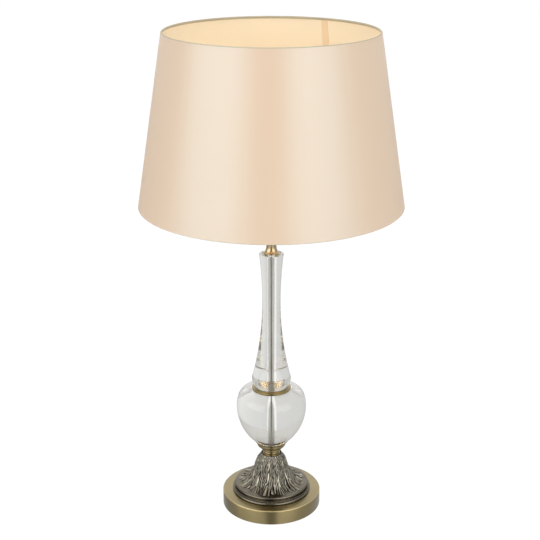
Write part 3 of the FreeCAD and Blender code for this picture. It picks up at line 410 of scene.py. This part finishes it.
def carved(turn, height):
    """Radius of the carved bell at one place, the rise of its curled tips, and its relief."""
    level = max(0.0, min(1.0, height / bell_height))
    droop = 1 - level
    around = Vector((math.cos(turn), math.sin(turn), 0))
    drift = noise.noise(around * 2.3 + Vector((0, 0, level * 3)))
    cell = (turn - leaf_turn) / (2 * math.pi) * 2 * leaf_pairs + 0.22 * drift * droop
    leaf = round(cell)
    across = abs(2 * (cell - leaf))
    small = leaf % 2
    grain = noise.noise(around * 11 + Vector((0, 0, level * 7)))
    fleck = noise.noise(around * 22 + Vector((0, 0, level * 12)))
    arch = max(0.0, level - 0.72) / 0.28
    phase = veins * math.sqrt(across ** 2 + 0.01) + 2.6 * level + 1.6 * arch ** 2 + 0.3 * small
    phase += 0.4 * grain
    crest = abs(math.sin(math.pi * phase))
    fine = abs(math.sin(math.pi * (2.3 * phase - 1.5 * level + 0.4 * fleck)))
    rib = max(0.0, 1 - across * 5)
    height_share = 0.68 * crest + 0.22 * fine + 0.25 * fleck + 0.3 * rib
    depth = vein_depth * min(1.0, 0.35 + 3.2 * droop) * (0.6 + 0.4 * droop)
    radius = bell(max(0.0, height)) - relief * across ** 3 * (0.3 + 0.7 * droop)
    radius += depth * (height_share - 0.85)
    foot = max(0.0, 1 - height / tip_band) ** 2
    reach = (tip_radius - small * small_leaf_short - valley_radius) * (1 - across ** 1.5)
    fray = tip_fray * (crest ** 1.5 - 0.35) + tip_unevenness * grain
    radius += (0.75 * reach + fray) * foot
    return radius, tip_curl * foot * max(0.0, crest - 0.4) * (0.5 + grain), height_share


rows = 96
levels = [bell_height * (1 - (step / rows) ** 1.1) for step in range(rows + 1)]
seat_floor = skirt_top - 2.4 * MM
seat_radius = 13 * MM
crown_thickness = 3 * MM
bell_root = plate_top - 0.8 * MM
outline = [(rod_hole, seat_floor), (rod_hole, seat_floor - crown_thickness),
           (30 * MM, bell_root), (valley_radius - 4 * MM, bell_root)]
outline += [(bell(level), plate_top + level) for level in reversed(levels)]
outline += [(seat_radius, skirt_top), (seat_radius, seat_floor)]
leaves = turned("skirt_leaves", outline, turns=720, sharp=60)
relief_map = leaves.data.attributes.new("relief", "FLOAT", "POINT")
for corner in leaves.data.vertices:
    height = corner.co.z - plate_top
    distance = math.hypot(corner.co.x, corner.co.y)
    if height > -0.01 * MM and distance > bell(max(0.0, height)) - 0.01 * MM:
        turn = math.atan2(corner.co.y, corner.co.x)
        grown, curl, share = carved(turn, height)
        corner.co.x *= grown / distance
        corner.co.y *= grown / distance
        corner.co.z += curl
        relief_map.data[corner.index].value = share
leaves.data.update()

# The same plate on the leaves, near black in the grooves and pale on the crests: a patina, with
# painted shade in the grooves and a painted highlight on the crests.
carved_bronze, carved_shader = new_finish("antiqued bronze leaves", {"Metallic": 1.0})
cut = add_node(carved_bronze, "ShaderNodeAttribute", {"attribute_name": "relief"})
crest_share = add_node(carved_bronze, "ShaderNodeMapRange", {"From Min": 0.42, "From Max": 1.0},
                   {"Value": (cut, "Fac")})
# From groove to crest: painted shade deep in the grooves, a painted highlight on the crests.
patina_shade_and_highlight = add_node(carved_bronze, "ShaderNodeMix", {
    "data_type": "RGBA", 6: linear("1C1A17"), 7: linear("C2BCAC")}, {0: (crest_share, "Result")})
carved_gloss = add_node(carved_bronze, "ShaderNodeMapRange", {"To Min": 0.5, "To Max": 0.22},
                        {"Value": (crest_share, "Result")})
drive(carved_bronze, carved_shader, "Base Color", patina_shade_and_highlight, 2)
drive(carved_bronze, carved_shader, "Roughness", carved_gloss, "Result")
fit(leaves, "stand", "leaf_skirt", carved_bronze)

# ---------------------------------------------------------------- spool collar
# Turned brass spool, darkened to match the base: a rounded flange let into the skirt's top, a bead
# between two grooves, and a plain band under the cup.
collar_foot, collar_head, collar_radius = span("spool_collar")


def moulding(outer, foot, head):
    """A half-round edge between two heights."""
    height = head - foot
    bulge = height * (half_round - math.sqrt(half_round ** 2 - 0.25))
    return bow((outer - bulge, foot), (outer - bulge, head), height * half_round, 10)


collar_neck = 11.2 * MM
flange_radius = 12.7 * MM
flange_head = collar_foot + 3 * MM
collar_bead = 12.4 * MM
bead_foot = flange_head + 0.8 * MM
bead_head = bead_foot + 3.2 * MM
band_foot = bead_head + 1.2 * MM
collar = turned("spool_collar_turned", [(rod_hole, collar_foot)]
    + moulding(flange_radius, collar_foot, flange_head)
    + [(collar_neck, flange_head), (collar_neck, bead_foot)]
    + moulding(collar_bead, bead_foot, bead_head)
    + eased([(collar_neck, bead_head + 0.1 * MM), (collar_radius, band_foot),
             (collar_radius, collar_head), (rod_hole, collar_head)], 0.2 * MM))
fit(collar, "stand", "spool_collar", antique, "spool_collar")

# ---------------------------------------------------------------- urn cup
# Turned brass cup with an out-turned lip, hollowed to the curve of the crystal that stands in it.
cup_foot, cup_rim, cup_radius = span("urn_cup")
urn_foot, urn_top, urn_radius = span("urn_glass")
urn_lower_curve = 71 * MM
urn_shoulder_curve = 45 * MM
urn_shoulder_rise = 14.3 * MM
urn_crown_curve = 16 * MM
urn_crown = urn_top - urn_crown_curve * (1 - urn_shoulder_rise / urn_shoulder_curve)
urn_widest = urn_crown - urn_shoulder_rise


def urn_at(height, offset=0.0):
    """Radius of the urn's lower curve at a height, or of a hollow turned to it with some room."""
    reach = urn_lower_curve + offset
    return urn_radius - urn_lower_curve + math.sqrt(reach ** 2 - (urn_widest - height) ** 2)


cup_floor = cup_rim - 4 * MM
cup_gap = 0.3 * MM
cup_foot_radius = 14.4 * MM
cup_belly_curve = 7 * MM
cup_lip_curve = 6.5 * MM
cup_belly = (20.7 * MM, cup_foot + 5.5 * MM)
cup_waist = (20.7 * MM, cup_foot + 8 * MM)
cup = turned("urn_cup_turned", [(rod_hole, cup_foot)]
    + bow((cup_foot_radius, cup_foot), cup_belly, cup_belly_curve)
    + bow(cup_waist, (cup_radius, cup_rim), -cup_lip_curve)
    + bow((urn_at(cup_rim, cup_gap), cup_rim), (urn_at(cup_floor, cup_gap), cup_floor),
          -(urn_lower_curve + cup_gap), 6)
    + [(rod_hole, cup_floor)])
fit(cup, "stand", "urn_cup", antique, "urn_cup")

# ---------------------------------------------------------------- crystal urn
# Solid optical crystal, moulded, ground and polished, with a drilled bore for the rod. It stands in
# the cup on a clear washer.

# Lead-free optical crystal: index 1.52, perfectly smooth, and clear as water in its depth.
crystal, _ = new_finish("polished optical crystal", {
    "Base Color": linear("F8F8F5"), "Roughness": 0.0, "IOR": 1.52, "Transmission Weight": 1.0})
bore = 5 * MM
shoulder_reach = math.sqrt(urn_shoulder_curve ** 2 - urn_shoulder_rise ** 2)
crown_radius = urn_radius - urn_shoulder_curve + shoulder_reach
flat_radius = crown_radius - shoulder_reach * urn_crown_curve / urn_shoulder_curve
urn_bevel = 0.8 * MM
urn_edge = (urn_at(urn_foot + urn_bevel), urn_foot + urn_bevel)
urn = turned("crystal_urn", [(bore, urn_foot), (urn_edge[0] - 1.5 * urn_bevel, urn_foot)]
    + bow(urn_edge, (urn_radius, urn_widest), urn_lower_curve, 64)
    + bow((urn_radius, urn_widest), (crown_radius, urn_crown), urn_shoulder_curve, 24)[1:]
    + bow((crown_radius, urn_crown), (flat_radius, urn_top), urn_crown_curve, 40)[1:]
    + [(bore, urn_top)], turns=256, sharp=35)
fit(urn, "stand", "urn_glass", crystal, "urn_glass")

# ---------------------------------------------------------------- brass ring and clear washers
# Antique brass ring between the two crystals, with soft clear washers so that nothing hard bears
# on the glass.
glass_ring_foot, glass_ring_top, glass_ring_radius = span("glass_ring")
glass_ring_band = glass_ring_foot + 2.2 * MM
glass_ring_table = 23.4 * MM
glass_ring = turned("glass_ring_turned", eased([
    (rod_hole, glass_ring_foot), (glass_ring_radius, glass_ring_foot),
    (glass_ring_radius, glass_ring_band), (glass_ring_table, glass_ring_top),
    (rod_hole, glass_ring_top)], 0.2 * MM))
fit(glass_ring, "stand", "glass_ring", antique, "glass_ring")

# Soft clear vinyl, a little cloudy.
vinyl, _ = new_finish("clear soft vinyl", {
    "Base Color": linear("E6E8E6"), "Roughness": 0.3, "Transmission Weight": 0.6})
wear("glass_washers", vinyl)

# ---------------------------------------------------------------- crystal column
# The same crystal as one long trumpet: a rounded foot, a crease, and a hollow flare to each end.
column_foot, column_top, column_radius = span("column_glass")
column_bun_curve = 18 * MM
column_crease_curve = 12 * MM
bun_rise = 12 * MM
crease_rise = 5 * MM
waist_radius = 12.65 * MM
column_top_radius = 16.9 * MM
column_bevel = 0.5 * MM
bun_height = column_foot + bun_rise
crease_height = bun_height + crease_rise
waist_height = column_foot + 126.5 * MM
bun_foot_radius = (column_radius - column_bun_curve
                   + math.sqrt(column_bun_curve ** 2 - bun_rise ** 2))
crease_radius = (column_radius - column_crease_curve
                 + math.sqrt(column_crease_curve ** 2 - crease_rise ** 2))


def flare(waist, wide, rise):
    """Radius of a hollow arc that leaves a waist upright and reaches a wider radius."""
    out = wide - waist
    return -(rise ** 2 + out ** 2) / (2 * out)


column = turned("crystal_column", [(bore, column_foot)]
    + bow((bun_foot_radius, column_foot), (column_radius, bun_height), column_bun_curve, 24)
    + bow((column_radius, bun_height), (crease_radius, crease_height), column_crease_curve, 12)[1:]
    + bow((crease_radius, crease_height), (waist_radius, waist_height),
          flare(waist_radius, crease_radius, waist_height - crease_height), 64)[1:]
    + bow((waist_radius, waist_height), (column_top_radius, column_top - column_bevel),
          flare(waist_radius, column_top_radius, column_top - column_bevel - waist_height),
          40)[1:]
    + [(column_top_radius - column_bevel, column_top), (bore, column_top)], turns=256, sharp=8)
fit(column, "stand", "column_glass", crystal, "column_glass")

# ---------------------------------------------------------------- neck
# Turned and polished brass trumpet between the column and the lampholder.

# Polished brass: bright yellow metal with only a breath of lathe marks left.
polished, polished_shader = new_finish("polished brass", {
    "Metallic": 1.0, "Anisotropic": 0.5, "Anisotropic Rotation": 0.25})
polished_place = lathe_lines(polished, polished_shader, 0.6 * MM, 0.006 * MM, 0.16, 0.26)
clouded(polished, polished_shader, polished_place, linear("B9A482"), linear("CBB793"), 20 * MM)

neck_foot, neck_top, neck_radius = span("neck")
neck_flange = neck_foot + 2.2 * MM
neck_root = (9.1 * MM, neck_flange)
neck_waist = (6.9 * MM, neck_flange + 9 * MM)
neck_band = (8.6 * MM, neck_top - 2.5 * MM)
neck = turned("neck_turned", [(rod_hole, neck_foot)]
    + moulding(neck_radius, neck_foot, neck_flange)
    + bow(neck_root, neck_waist, flare(neck_waist[0], neck_root[0], neck_waist[1] - neck_flange))
    + bow(neck_waist, neck_band,
          flare(neck_waist[0], neck_band[0], neck_band[1] - neck_waist[1]))[1:]
    + [(neck_band[0], neck_top), (rod_hole, neck_top)], sharp=40)
fit(neck, "stand", "neck", polished, "neck")

# ---------------------------------------------------------------- lampholder
# Two brass shells that screw together round a porcelain insert with its screw shell and spring
# tongue. The upper one has a shoulder and a thread for the shade's ring.
for shell in ("holder_cap", "holder_body", "screw_shell", "centre_contact"):
    dressed_copy(shell, "stand", polished)

# Glazed porcelain: white and glossy.
porcelain, _ = new_finish("glazed porcelain", {
    "Base Color": linear("EDEBE6"), "Roughness": 0.15, "Coat Weight": 0.5})
dressed_copy("holder_insert", "stand", porcelain)

# ---------------------------------------------------------------- bulb
# Opal glass globe on a tinned screw cap. It is lit, which gives the inside of the shade its glow.

# Opal glass, lit: a warm white that is even all over. The camera sees less of its light than the
# shade gets, so that the globe still shows its shape.
opal, opal_shader = new_finish("lit opal glass", {
    "Base Color": linear("A09688"), "Roughness": 0.3, "Emission Color": linear("FFD9A6")})
glow_on_shade, glow_to_eye = 6.6, 0.8
glance = add_node(opal, "ShaderNodeLightPath")
glow = add_node(opal, "ShaderNodeMix", {2: glow_on_shade, 3: glow_to_eye},
                {0: (glance, "Is Camera Ray")})
drive(opal, opal_shader, "Emission Strength", glow, 0)
dressed_copy("bulb_globe", "bulb", opal)

# Tinned brass cap and solder.
tin, _ = new_finish("tinned sheet", {
    "Base Color": linear("C9C9C6"), "Metallic": 1.0, "Roughness": 0.3})
dressed_copy("bulb_cap", "bulb", tin)
dressed_copy("bulb_contact", "bulb", tin)

# Vitrite: black glass between the cap and the centre contact.
vitrite, _ = new_finish("black vitrite", {
    "Base Color": linear("0C0C0E"), "Roughness": 0.2})
dressed_copy("bulb_insulator", "bulb", vitrite)

# ---------------------------------------------------------------- shade fitter and clamp ring
# A brass-plated steel ring with three wire spokes out to the shade's wire, held down on the
# lampholder's shoulder by a threaded brass ring.
dressed_copy("shade_fitter", "shade", polished)
dressed_copy("shade_ring", "clamp", polished)

# ---------------------------------------------------------------- shade
# Champagne satin laminated to a translucent styrene backing, rolled over a wire ring at each rim
# and joined by one overlapped seam at the back right.

# Satin: long floats of thread run round the drum, so that its pearly gloss is spread up and down.
# Silky thread is glossier than plain cloth, hence the index of 1.75, and its gloss is a cool white
# over the warm colour of the weave.
satin, satin_shader = new_finish("champagne satin", {
    "Base Color": linear("E6C7A8"), "Roughness": 0.4, "Anisotropic": 0.5,
    "Anisotropic Rotation": 0.25, "Specular Tint": linear("80E0FF"), "Specular IOR Level": 1.0,
    "IOR": 1.75, "Sheen Weight": 0.05})
grained(satin, satin_shader, size=0.8 * MM, detail=3.0, strength=0.1, height=0.02 * MM,
        stretch=(0.05, 0.05, 1.0))

# Styrene backing with its paper-like cream face: matt, and warm where the bulb lights it.
styrene, styrene_shader = new_finish("cream styrene backing", {
    "Base Color": linear("F8ECD4"), "Roughness": 0.65})
grained(styrene, styrene_shader, size=1.0 * MM, detail=3.0, strength=0.1, height=0.05 * MM)

cover_foot, cover_head, cover_foot_radius = span("shade_cover")
liner_foot, liner_head, liner_foot_radius = span("shade_liner")
shade_taper = 36.5 / 231
seam_turn = math.radians(59)
seam_lap = 11 * MM


def wrapped(name, foot, head, foot_radius, thickness, lift):
    """A sheet wound once round the cone, its far end lapped over its near end at the seam."""
    around, up = 288, 40
    lap_start, lap_rise = 0.96, 0.03
    middle = foot_radius - thickness / 2
    lap = seam_lap / (foot_radius * 0.9)
    slant = math.hypot(head - foot, (head - foot) * shade_taper)
    bpy.ops.object.select_all(action="DESELECT")
    bpy.ops.mesh.primitive_grid_add(x_subdivisions=around, y_subdivisions=up, size=2)
    piece = bpy.context.object
    piece.name = name
    paper = piece.data.uv_layers.active or piece.data.uv_layers.new(name="UVMap")
    for corner in piece.data.loops:
        place = piece.data.vertices[corner.vertex_index].co
        paper.data[corner.index].uv = ((place.x + 1) / 2 * 2 * math.pi * foot_radius / MM,
                                       (place.y + 1) / 2 * slant / MM)
    for corner in piece.data.vertices:
        share, rise = (corner.co.x + 1) / 2, (corner.co.y + 1) / 2
        turn = seam_turn + lap / 2 - share * (2 * math.pi + lap)
        step = min(1.0, max(0.0, (share - lap_start) / lap_rise))
        radius = middle - rise * (head - foot) * shade_taper
        radius += lift * step * step * (3 - 2 * step)
        corner.co = (radius * math.cos(turn), radius * math.sin(turn), foot + rise * (head - foot))
    bpy.ops.object.mode_set(mode="EDIT")
    bpy.ops.mesh.select_all(action="SELECT")
    bpy.ops.mesh.normals_make_consistent(inside=False)
    bpy.ops.object.mode_set(mode="OBJECT")
    cloth = piece.modifiers.new("thickness", "SOLIDIFY")
    cloth.thickness = thickness
    cloth.offset = 0
    bpy.ops.object.modifier_apply(modifier="thickness")
    bpy.ops.object.shade_smooth_by_angle(angle=math.radians(30))
    return piece


satin_thickness = 0.4 * MM
styrene_thickness = 0.6 * MM
lap_gap = 0.02 * MM
cover = wrapped("satin_cover", cover_foot, cover_head, cover_foot_radius, satin_thickness,
                satin_thickness + lap_gap)
fit(cover, "shade", "shade_cover", satin, "shade_cover")

# Two layers of backing let less light through, so the seam is painted darker inside: painted shade.
doubled, _ = new_finish("doubled styrene seam, painted shade", {
    "Base Color": linear("F0D9B9"), "Roughness": 0.65})
liner = wrapped("styrene_backing", liner_foot, liner_head, liner_foot_radius, styrene_thickness,
                -(styrene_thickness + lap_gap))
fit(liner, "shade", "shade_liner", styrene, "shade_liner")
# The faces along the seam get the darker styrene, a stripe of painted shade.
liner.data.materials.append(doubled)
for face in liner.data.polygons:
    spot = face.center
    aside = abs(math.atan2(spot.y, spot.x) - seam_turn) * math.hypot(spot.x, spot.y)
    face.material_index = 1 if aside < seam_lap / 2 else 0

# The rims: the same satin, turned over a wire and glued down inside, coloured greyer and darker
# than the cover.
rim_satin, _ = new_finish("rolled satin edge", {
    "Base Color": linear("B9B29C"), "Roughness": 0.55, "Sheen Weight": 0.1})
roll_thickness = 2 * MM
wire_room = 1.4 * MM
hem_depth = 1.5 * MM
hem_thickness = 0.3 * MM
hem_inset = 1.3 * MM


def rolled_rim(node, upward):
    """A hollow roll of cloth round a rim, and the strip of it that is glued down inside."""
    low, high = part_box(node)
    across = high.x - roll_thickness / 2
    level = (low.z + high.z) / 2
    bpy.ops.object.select_all(action="DESELECT")
    bpy.ops.mesh.primitive_torus_add(major_segments=288, minor_segments=16, major_radius=across,
                                     minor_radius=wire_room / 2)
    bpy.ops.object.mode_set(mode="EDIT")
    bpy.ops.mesh.select_all(action="SELECT")
    bpy.ops.mesh.flip_normals()
    bpy.ops.object.mode_set(mode="OBJECT")
    hollow = bpy.context.object
    bpy.ops.mesh.primitive_torus_add(major_segments=288, minor_segments=16, major_radius=across,
                                     minor_radius=roll_thickness / 2)
    roll = bpy.context.object
    roll.name = node + "_cloth"
    hollow.select_set(True)
    bpy.context.view_layer.objects.active = roll
    bpy.ops.object.join()
    bpy.ops.object.mode_set(mode="EDIT")
    bpy.ops.mesh.select_all(action="SELECT")
    bpy.ops.transform.translate(value=(0, 0, level))
    bpy.ops.object.mode_set(mode="OBJECT")
    bpy.ops.object.shade_smooth_by_angle(angle=math.radians(60))
    fit(roll, "shade", node, rim_satin, node)
    start = level + upward * roll_thickness / 2
    end = start + upward * hem_depth
    near, far = (liner_foot_radius - (height - liner_foot) * shade_taper - hem_inset
                 for height in (start, end))
    hem = turned(node + "_hem", [(near - hem_thickness, start), (near, start), (far, end),
                                 (far - hem_thickness, end)], turns=288)
    fit(hem, "shade", node, rim_satin)


rolled_rim("top_roll", -1)
rolled_rim("bottom_roll", 1)

# White powder-coated steel wire.
coated, _ = new_finish("white powder coat", {
    "Base Color": linear("E8E6E0"), "Roughness": 0.5})
wear("top_wire", coated)
wear("bottom_wire", coated)

# ---------------------------------------------------------------- floor, light and camera
# A pale floor and a white surround, two tall soft lamps at the front quarters, one overhead and a
# weaker one behind.


def by_bearing(material, source, output, stops):
    """A brightness that changes with the bearing from the object: pairs of degrees, counted to
    the right from the camera's side, and brightness."""
    parts = add_node(material, "ShaderNodeSeparateXYZ", {}, {"Vector": (source, output)})
    nearer = add_node(material, "ShaderNodeMath", {"operation": "MULTIPLY", 1: -1.0},
                      {0: (parts, "Y")})
    bearing = add_node(material, "ShaderNodeMath", {"operation": "ARCTAN2"},
                       {0: (parts, "X"), 1: (nearer, "Value")})
    turn = add_node(material, "ShaderNodeMapRange", {"From Min": -math.pi, "From Max": math.pi},
                    {"Value": (bearing, "Value")})
    ramp = add_node(material, "ShaderNodeValToRGB", {}, {"Fac": (turn, "Result")})
    ramp.color_ramp.interpolation = "EASE"
    marks = ramp.color_ramp.elements
    for number, (degrees, brightness) in enumerate(stops):
        mark = marks[number] if number < 2 else marks.new(1.0)
        mark.position = degrees / 360 + 0.5
        mark.color = (brightness, brightness, brightness, 1.0)
    return ramp


floor_paint, floor_shader = new_finish("pale floor", {
    "Base Color": linear("FAFAFA"), "Roughness": 0.9})
seen = add_node(floor_paint, "ShaderNodeLightPath")
eye = add_node(floor_paint, "ShaderNodeMath", {"operation": "MAXIMUM"},
               {0: (seen, "Is Camera Ray"), 1: (seen, "Is Glossy Ray")})
eye_all = add_node(floor_paint, "ShaderNodeMath", {"operation": "MAXIMUM"},
                   {0: (eye, "Value"), 1: (seen, "Is Transmission Ray")})
shown = add_node(floor_paint, "ShaderNodeMath", {"operation": "MULTIPLY", 1: 0.92},
                 {0: (eye_all, "Value")})
# White to the camera. In metal it's lighter at the front quarters, where the lamps' light lies on
# it, and dark between them. The crystals let a light grey through, with a dark streak right at the
# front that draws a dark line along the rod.
facing = add_node(floor_paint, "ShaderNodeNewGeometry")
way = add_node(floor_paint, "ShaderNodeVectorMath", {"operation": "SCALE", "Scale": -1.0},
               {"Vector": (facing, "Incoming")})
under_metal = by_bearing(floor_paint, way, "Vector", [
    (-180, 0.4), (180, 0.4), (-130, 0.33), (-98, 0.42), (-70, 0.64), (-42, 0.83), (-20, 0.78),
    (-5, 0.28), (5, 0.28), (21, 0.85), (42, 0.8), (72, 0.5), (130, 0.33)])
in_depth = by_bearing(floor_paint, way, "Vector", [
    (-180, 0.69), (180, 0.69), (-110, 0.69), (-90, 1.0), (-28, 1.0), (-13, 0.1), (9, 0.1),
    (26, 1.0), (90, 1.0), (110, 0.69)])
beyond = add_node(floor_paint, "ShaderNodeMix", {}, {
    0: (seen, "Is Transmission Ray"), 2: (under_metal, "Color"), 3: (in_depth, "Color")})
level = add_node(floor_paint, "ShaderNodeMix", {3: 1.06},
                 {0: (seen, "Is Camera Ray"), 2: (beyond, 0)})
white = add_node(floor_paint, "ShaderNodeEmission", {"Color": linear("FFFFFF")},
                 {"Strength": (level, 0)})
both = add_node(floor_paint, "ShaderNodeMixShader", {}, {
    0: (shown, "Value"), 1: (floor_shader, "BSDF"), 2: (white, "Emission")})
drive(floor_paint, floor_paint.node_tree.nodes["Material Output"], "Surface", both, "Shader")
bpy.ops.object.select_all(action="DESELECT")
bpy.ops.mesh.primitive_plane_add(size=12)
floor = bpy.context.object
floor.name = "floor"
floor.data.materials.append(floor_paint)

world = bpy.context.scene.world or bpy.data.worlds.new("studio")
bpy.context.scene.world = world
world.use_nodes = True
air = world.node_tree.nodes["Background"]
air.inputs["Color"].default_value = linear("FFFFFF")
air.inputs["Strength"].default_value = 0.38
bright = add_node(world, "ShaderNodeBackground", {"Color": linear("FFFFFF"), "Strength": 1.0})
# Metal and satin see the two soft lamps as bright panels at the front quarters, with the dark room
# between them, grey beyond, and an even light overhead. The crystals let a plain pale grey through,
# a little darker at the front.
towards = add_node(world, "ShaderNodeTexCoord")
direction = add_node(world, "ShaderNodeSeparateXYZ", {}, {"Vector": (towards, "Generated")})
panels = by_bearing(world, towards, "Generated", [
    (-180, 0.45), (180, 0.45), (-150, 0.4), (-130, 0.3), (-98, 0.25), (-76, 1.0), (-32, 1.0),
    (-15, 0.05), (8, 0.05), (22, 1.0), (50, 0.95), (85, 0.25), (130, 0.3), (150, 0.4)])
glare = add_node(world, "ShaderNodeMath", {"operation": "MULTIPLY", 1: 2.3},
                 {0: (panels, "Color")})
overhead = add_node(world, "ShaderNodeMapRange", {
    "interpolation_type": "SMOOTHSTEP", "From Min": 0.45, "From Max": 0.9},
    {"Value": (direction, "Z")})
in_metal = add_node(world, "ShaderNodeMix", {3: 0.8},
                    {0: (overhead, "Result"), 2: (glare, "Value")})
in_crystal = add_node(world, "ShaderNodeMapRange", {
    "interpolation_type": "SMOOTHSTEP", "From Min": -0.97, "From Max": 0.3, "To Min": 0.54,
    "To Max": 0.68}, {"Value": (direction, "Y")})
ray = add_node(world, "ShaderNodeLightPath")
room = add_node(world, "ShaderNodeMix", {}, {
    0: (ray, "Is Transmission Ray"), 2: (in_metal, 0), 3: (in_crystal, "Result")})
surround = add_node(world, "ShaderNodeBackground", {"Color": linear("FFFDFA")},
                    {"Strength": (room, 0)})
mirrored = add_node(world, "ShaderNodeMath", {"operation": "MAXIMUM"},
                    {0: (ray, "Is Glossy Ray"), 1: (ray, "Is Transmission Ray")})
lit = add_node(world, "ShaderNodeMixShader", {}, {
    0: (mirrored, "Value"), 1: (air, "Background"), 2: (surround, "Background")})
sky = add_node(world, "ShaderNodeMixShader", {}, {
    0: (ray, "Is Camera Ray"), 1: (lit, "Shader"), 2: (bright, "Background")})
drive(world, world.node_tree.nodes["World Output"], "Surface", sky, "Shader")


def soft_lamp(name, place, target, width, height, power):
    """A rectangular soft lamp aimed at a point."""
    lamp = bpy.data.lights.new(name, "AREA")
    lamp.shape = "RECTANGLE"
    lamp.size = width
    lamp.size_y = height
    lamp.energy = power
    stand = bpy.data.objects.new(name, lamp)
    stand.location = place
    stand.rotation_euler = (Vector(target) - Vector(place)).to_track_quat("-Z", "Y").to_euler()
    # Metal and glass see it in the surround instead.
    stand.visible_glossy = False
    stand.visible_transmission = False
    bpy.context.scene.collection.objects.link(stand)


soft_lamp("left lamp", (-1.81, -1.42, 0.75), (0, 0, 0.45), 2.3, 1.6, 24)
soft_lamp("right lamp", (1.65, -1.6, 0.75), (0, 0, 0.45), 2.5, 1.6, 24)
soft_lamp("top lamp", (0, -0.3, 2.4), (0, 0, 0.3), 1.6, 1.6, 22)
soft_lamp("back lamp", (0.2, 2.4, 1.0), (0, 0, 0.45), 2.4, 1.4, 14)

# The camera was fitted to the ellipses of the shade and the base: a picture 540 pixels wide, a lens
# 1210 pixels long, and a view 19.3 degrees down.
picture_width = 540
film_width = 36
view_down = 19.3
camera_data = bpy.data.cameras.new("camera")
camera_data.sensor_width = film_width
camera_data.lens = film_width * 1210 / picture_width
camera_data.shift_x = -1.4 / picture_width
camera = bpy.data.objects.new("camera", camera_data)
camera.location = (0, -1.560, 0.903)
camera.rotation_euler = (math.radians(90 - view_down), 0, 0)
bpy.context.scene.collection.objects.link(camera)
bpy.context.scene.camera = camera
bpy.context.scene.view_settings.view_transform = "Standard"
# The two solid crystals pass light on inside themselves many times before it leaves.
bpy.context.scene.cycles.max_bounces = 128
bpy.context.scene.cycles.transmission_bounces = 64
bpy.context.scene.cycles.glossy_bounces = 64
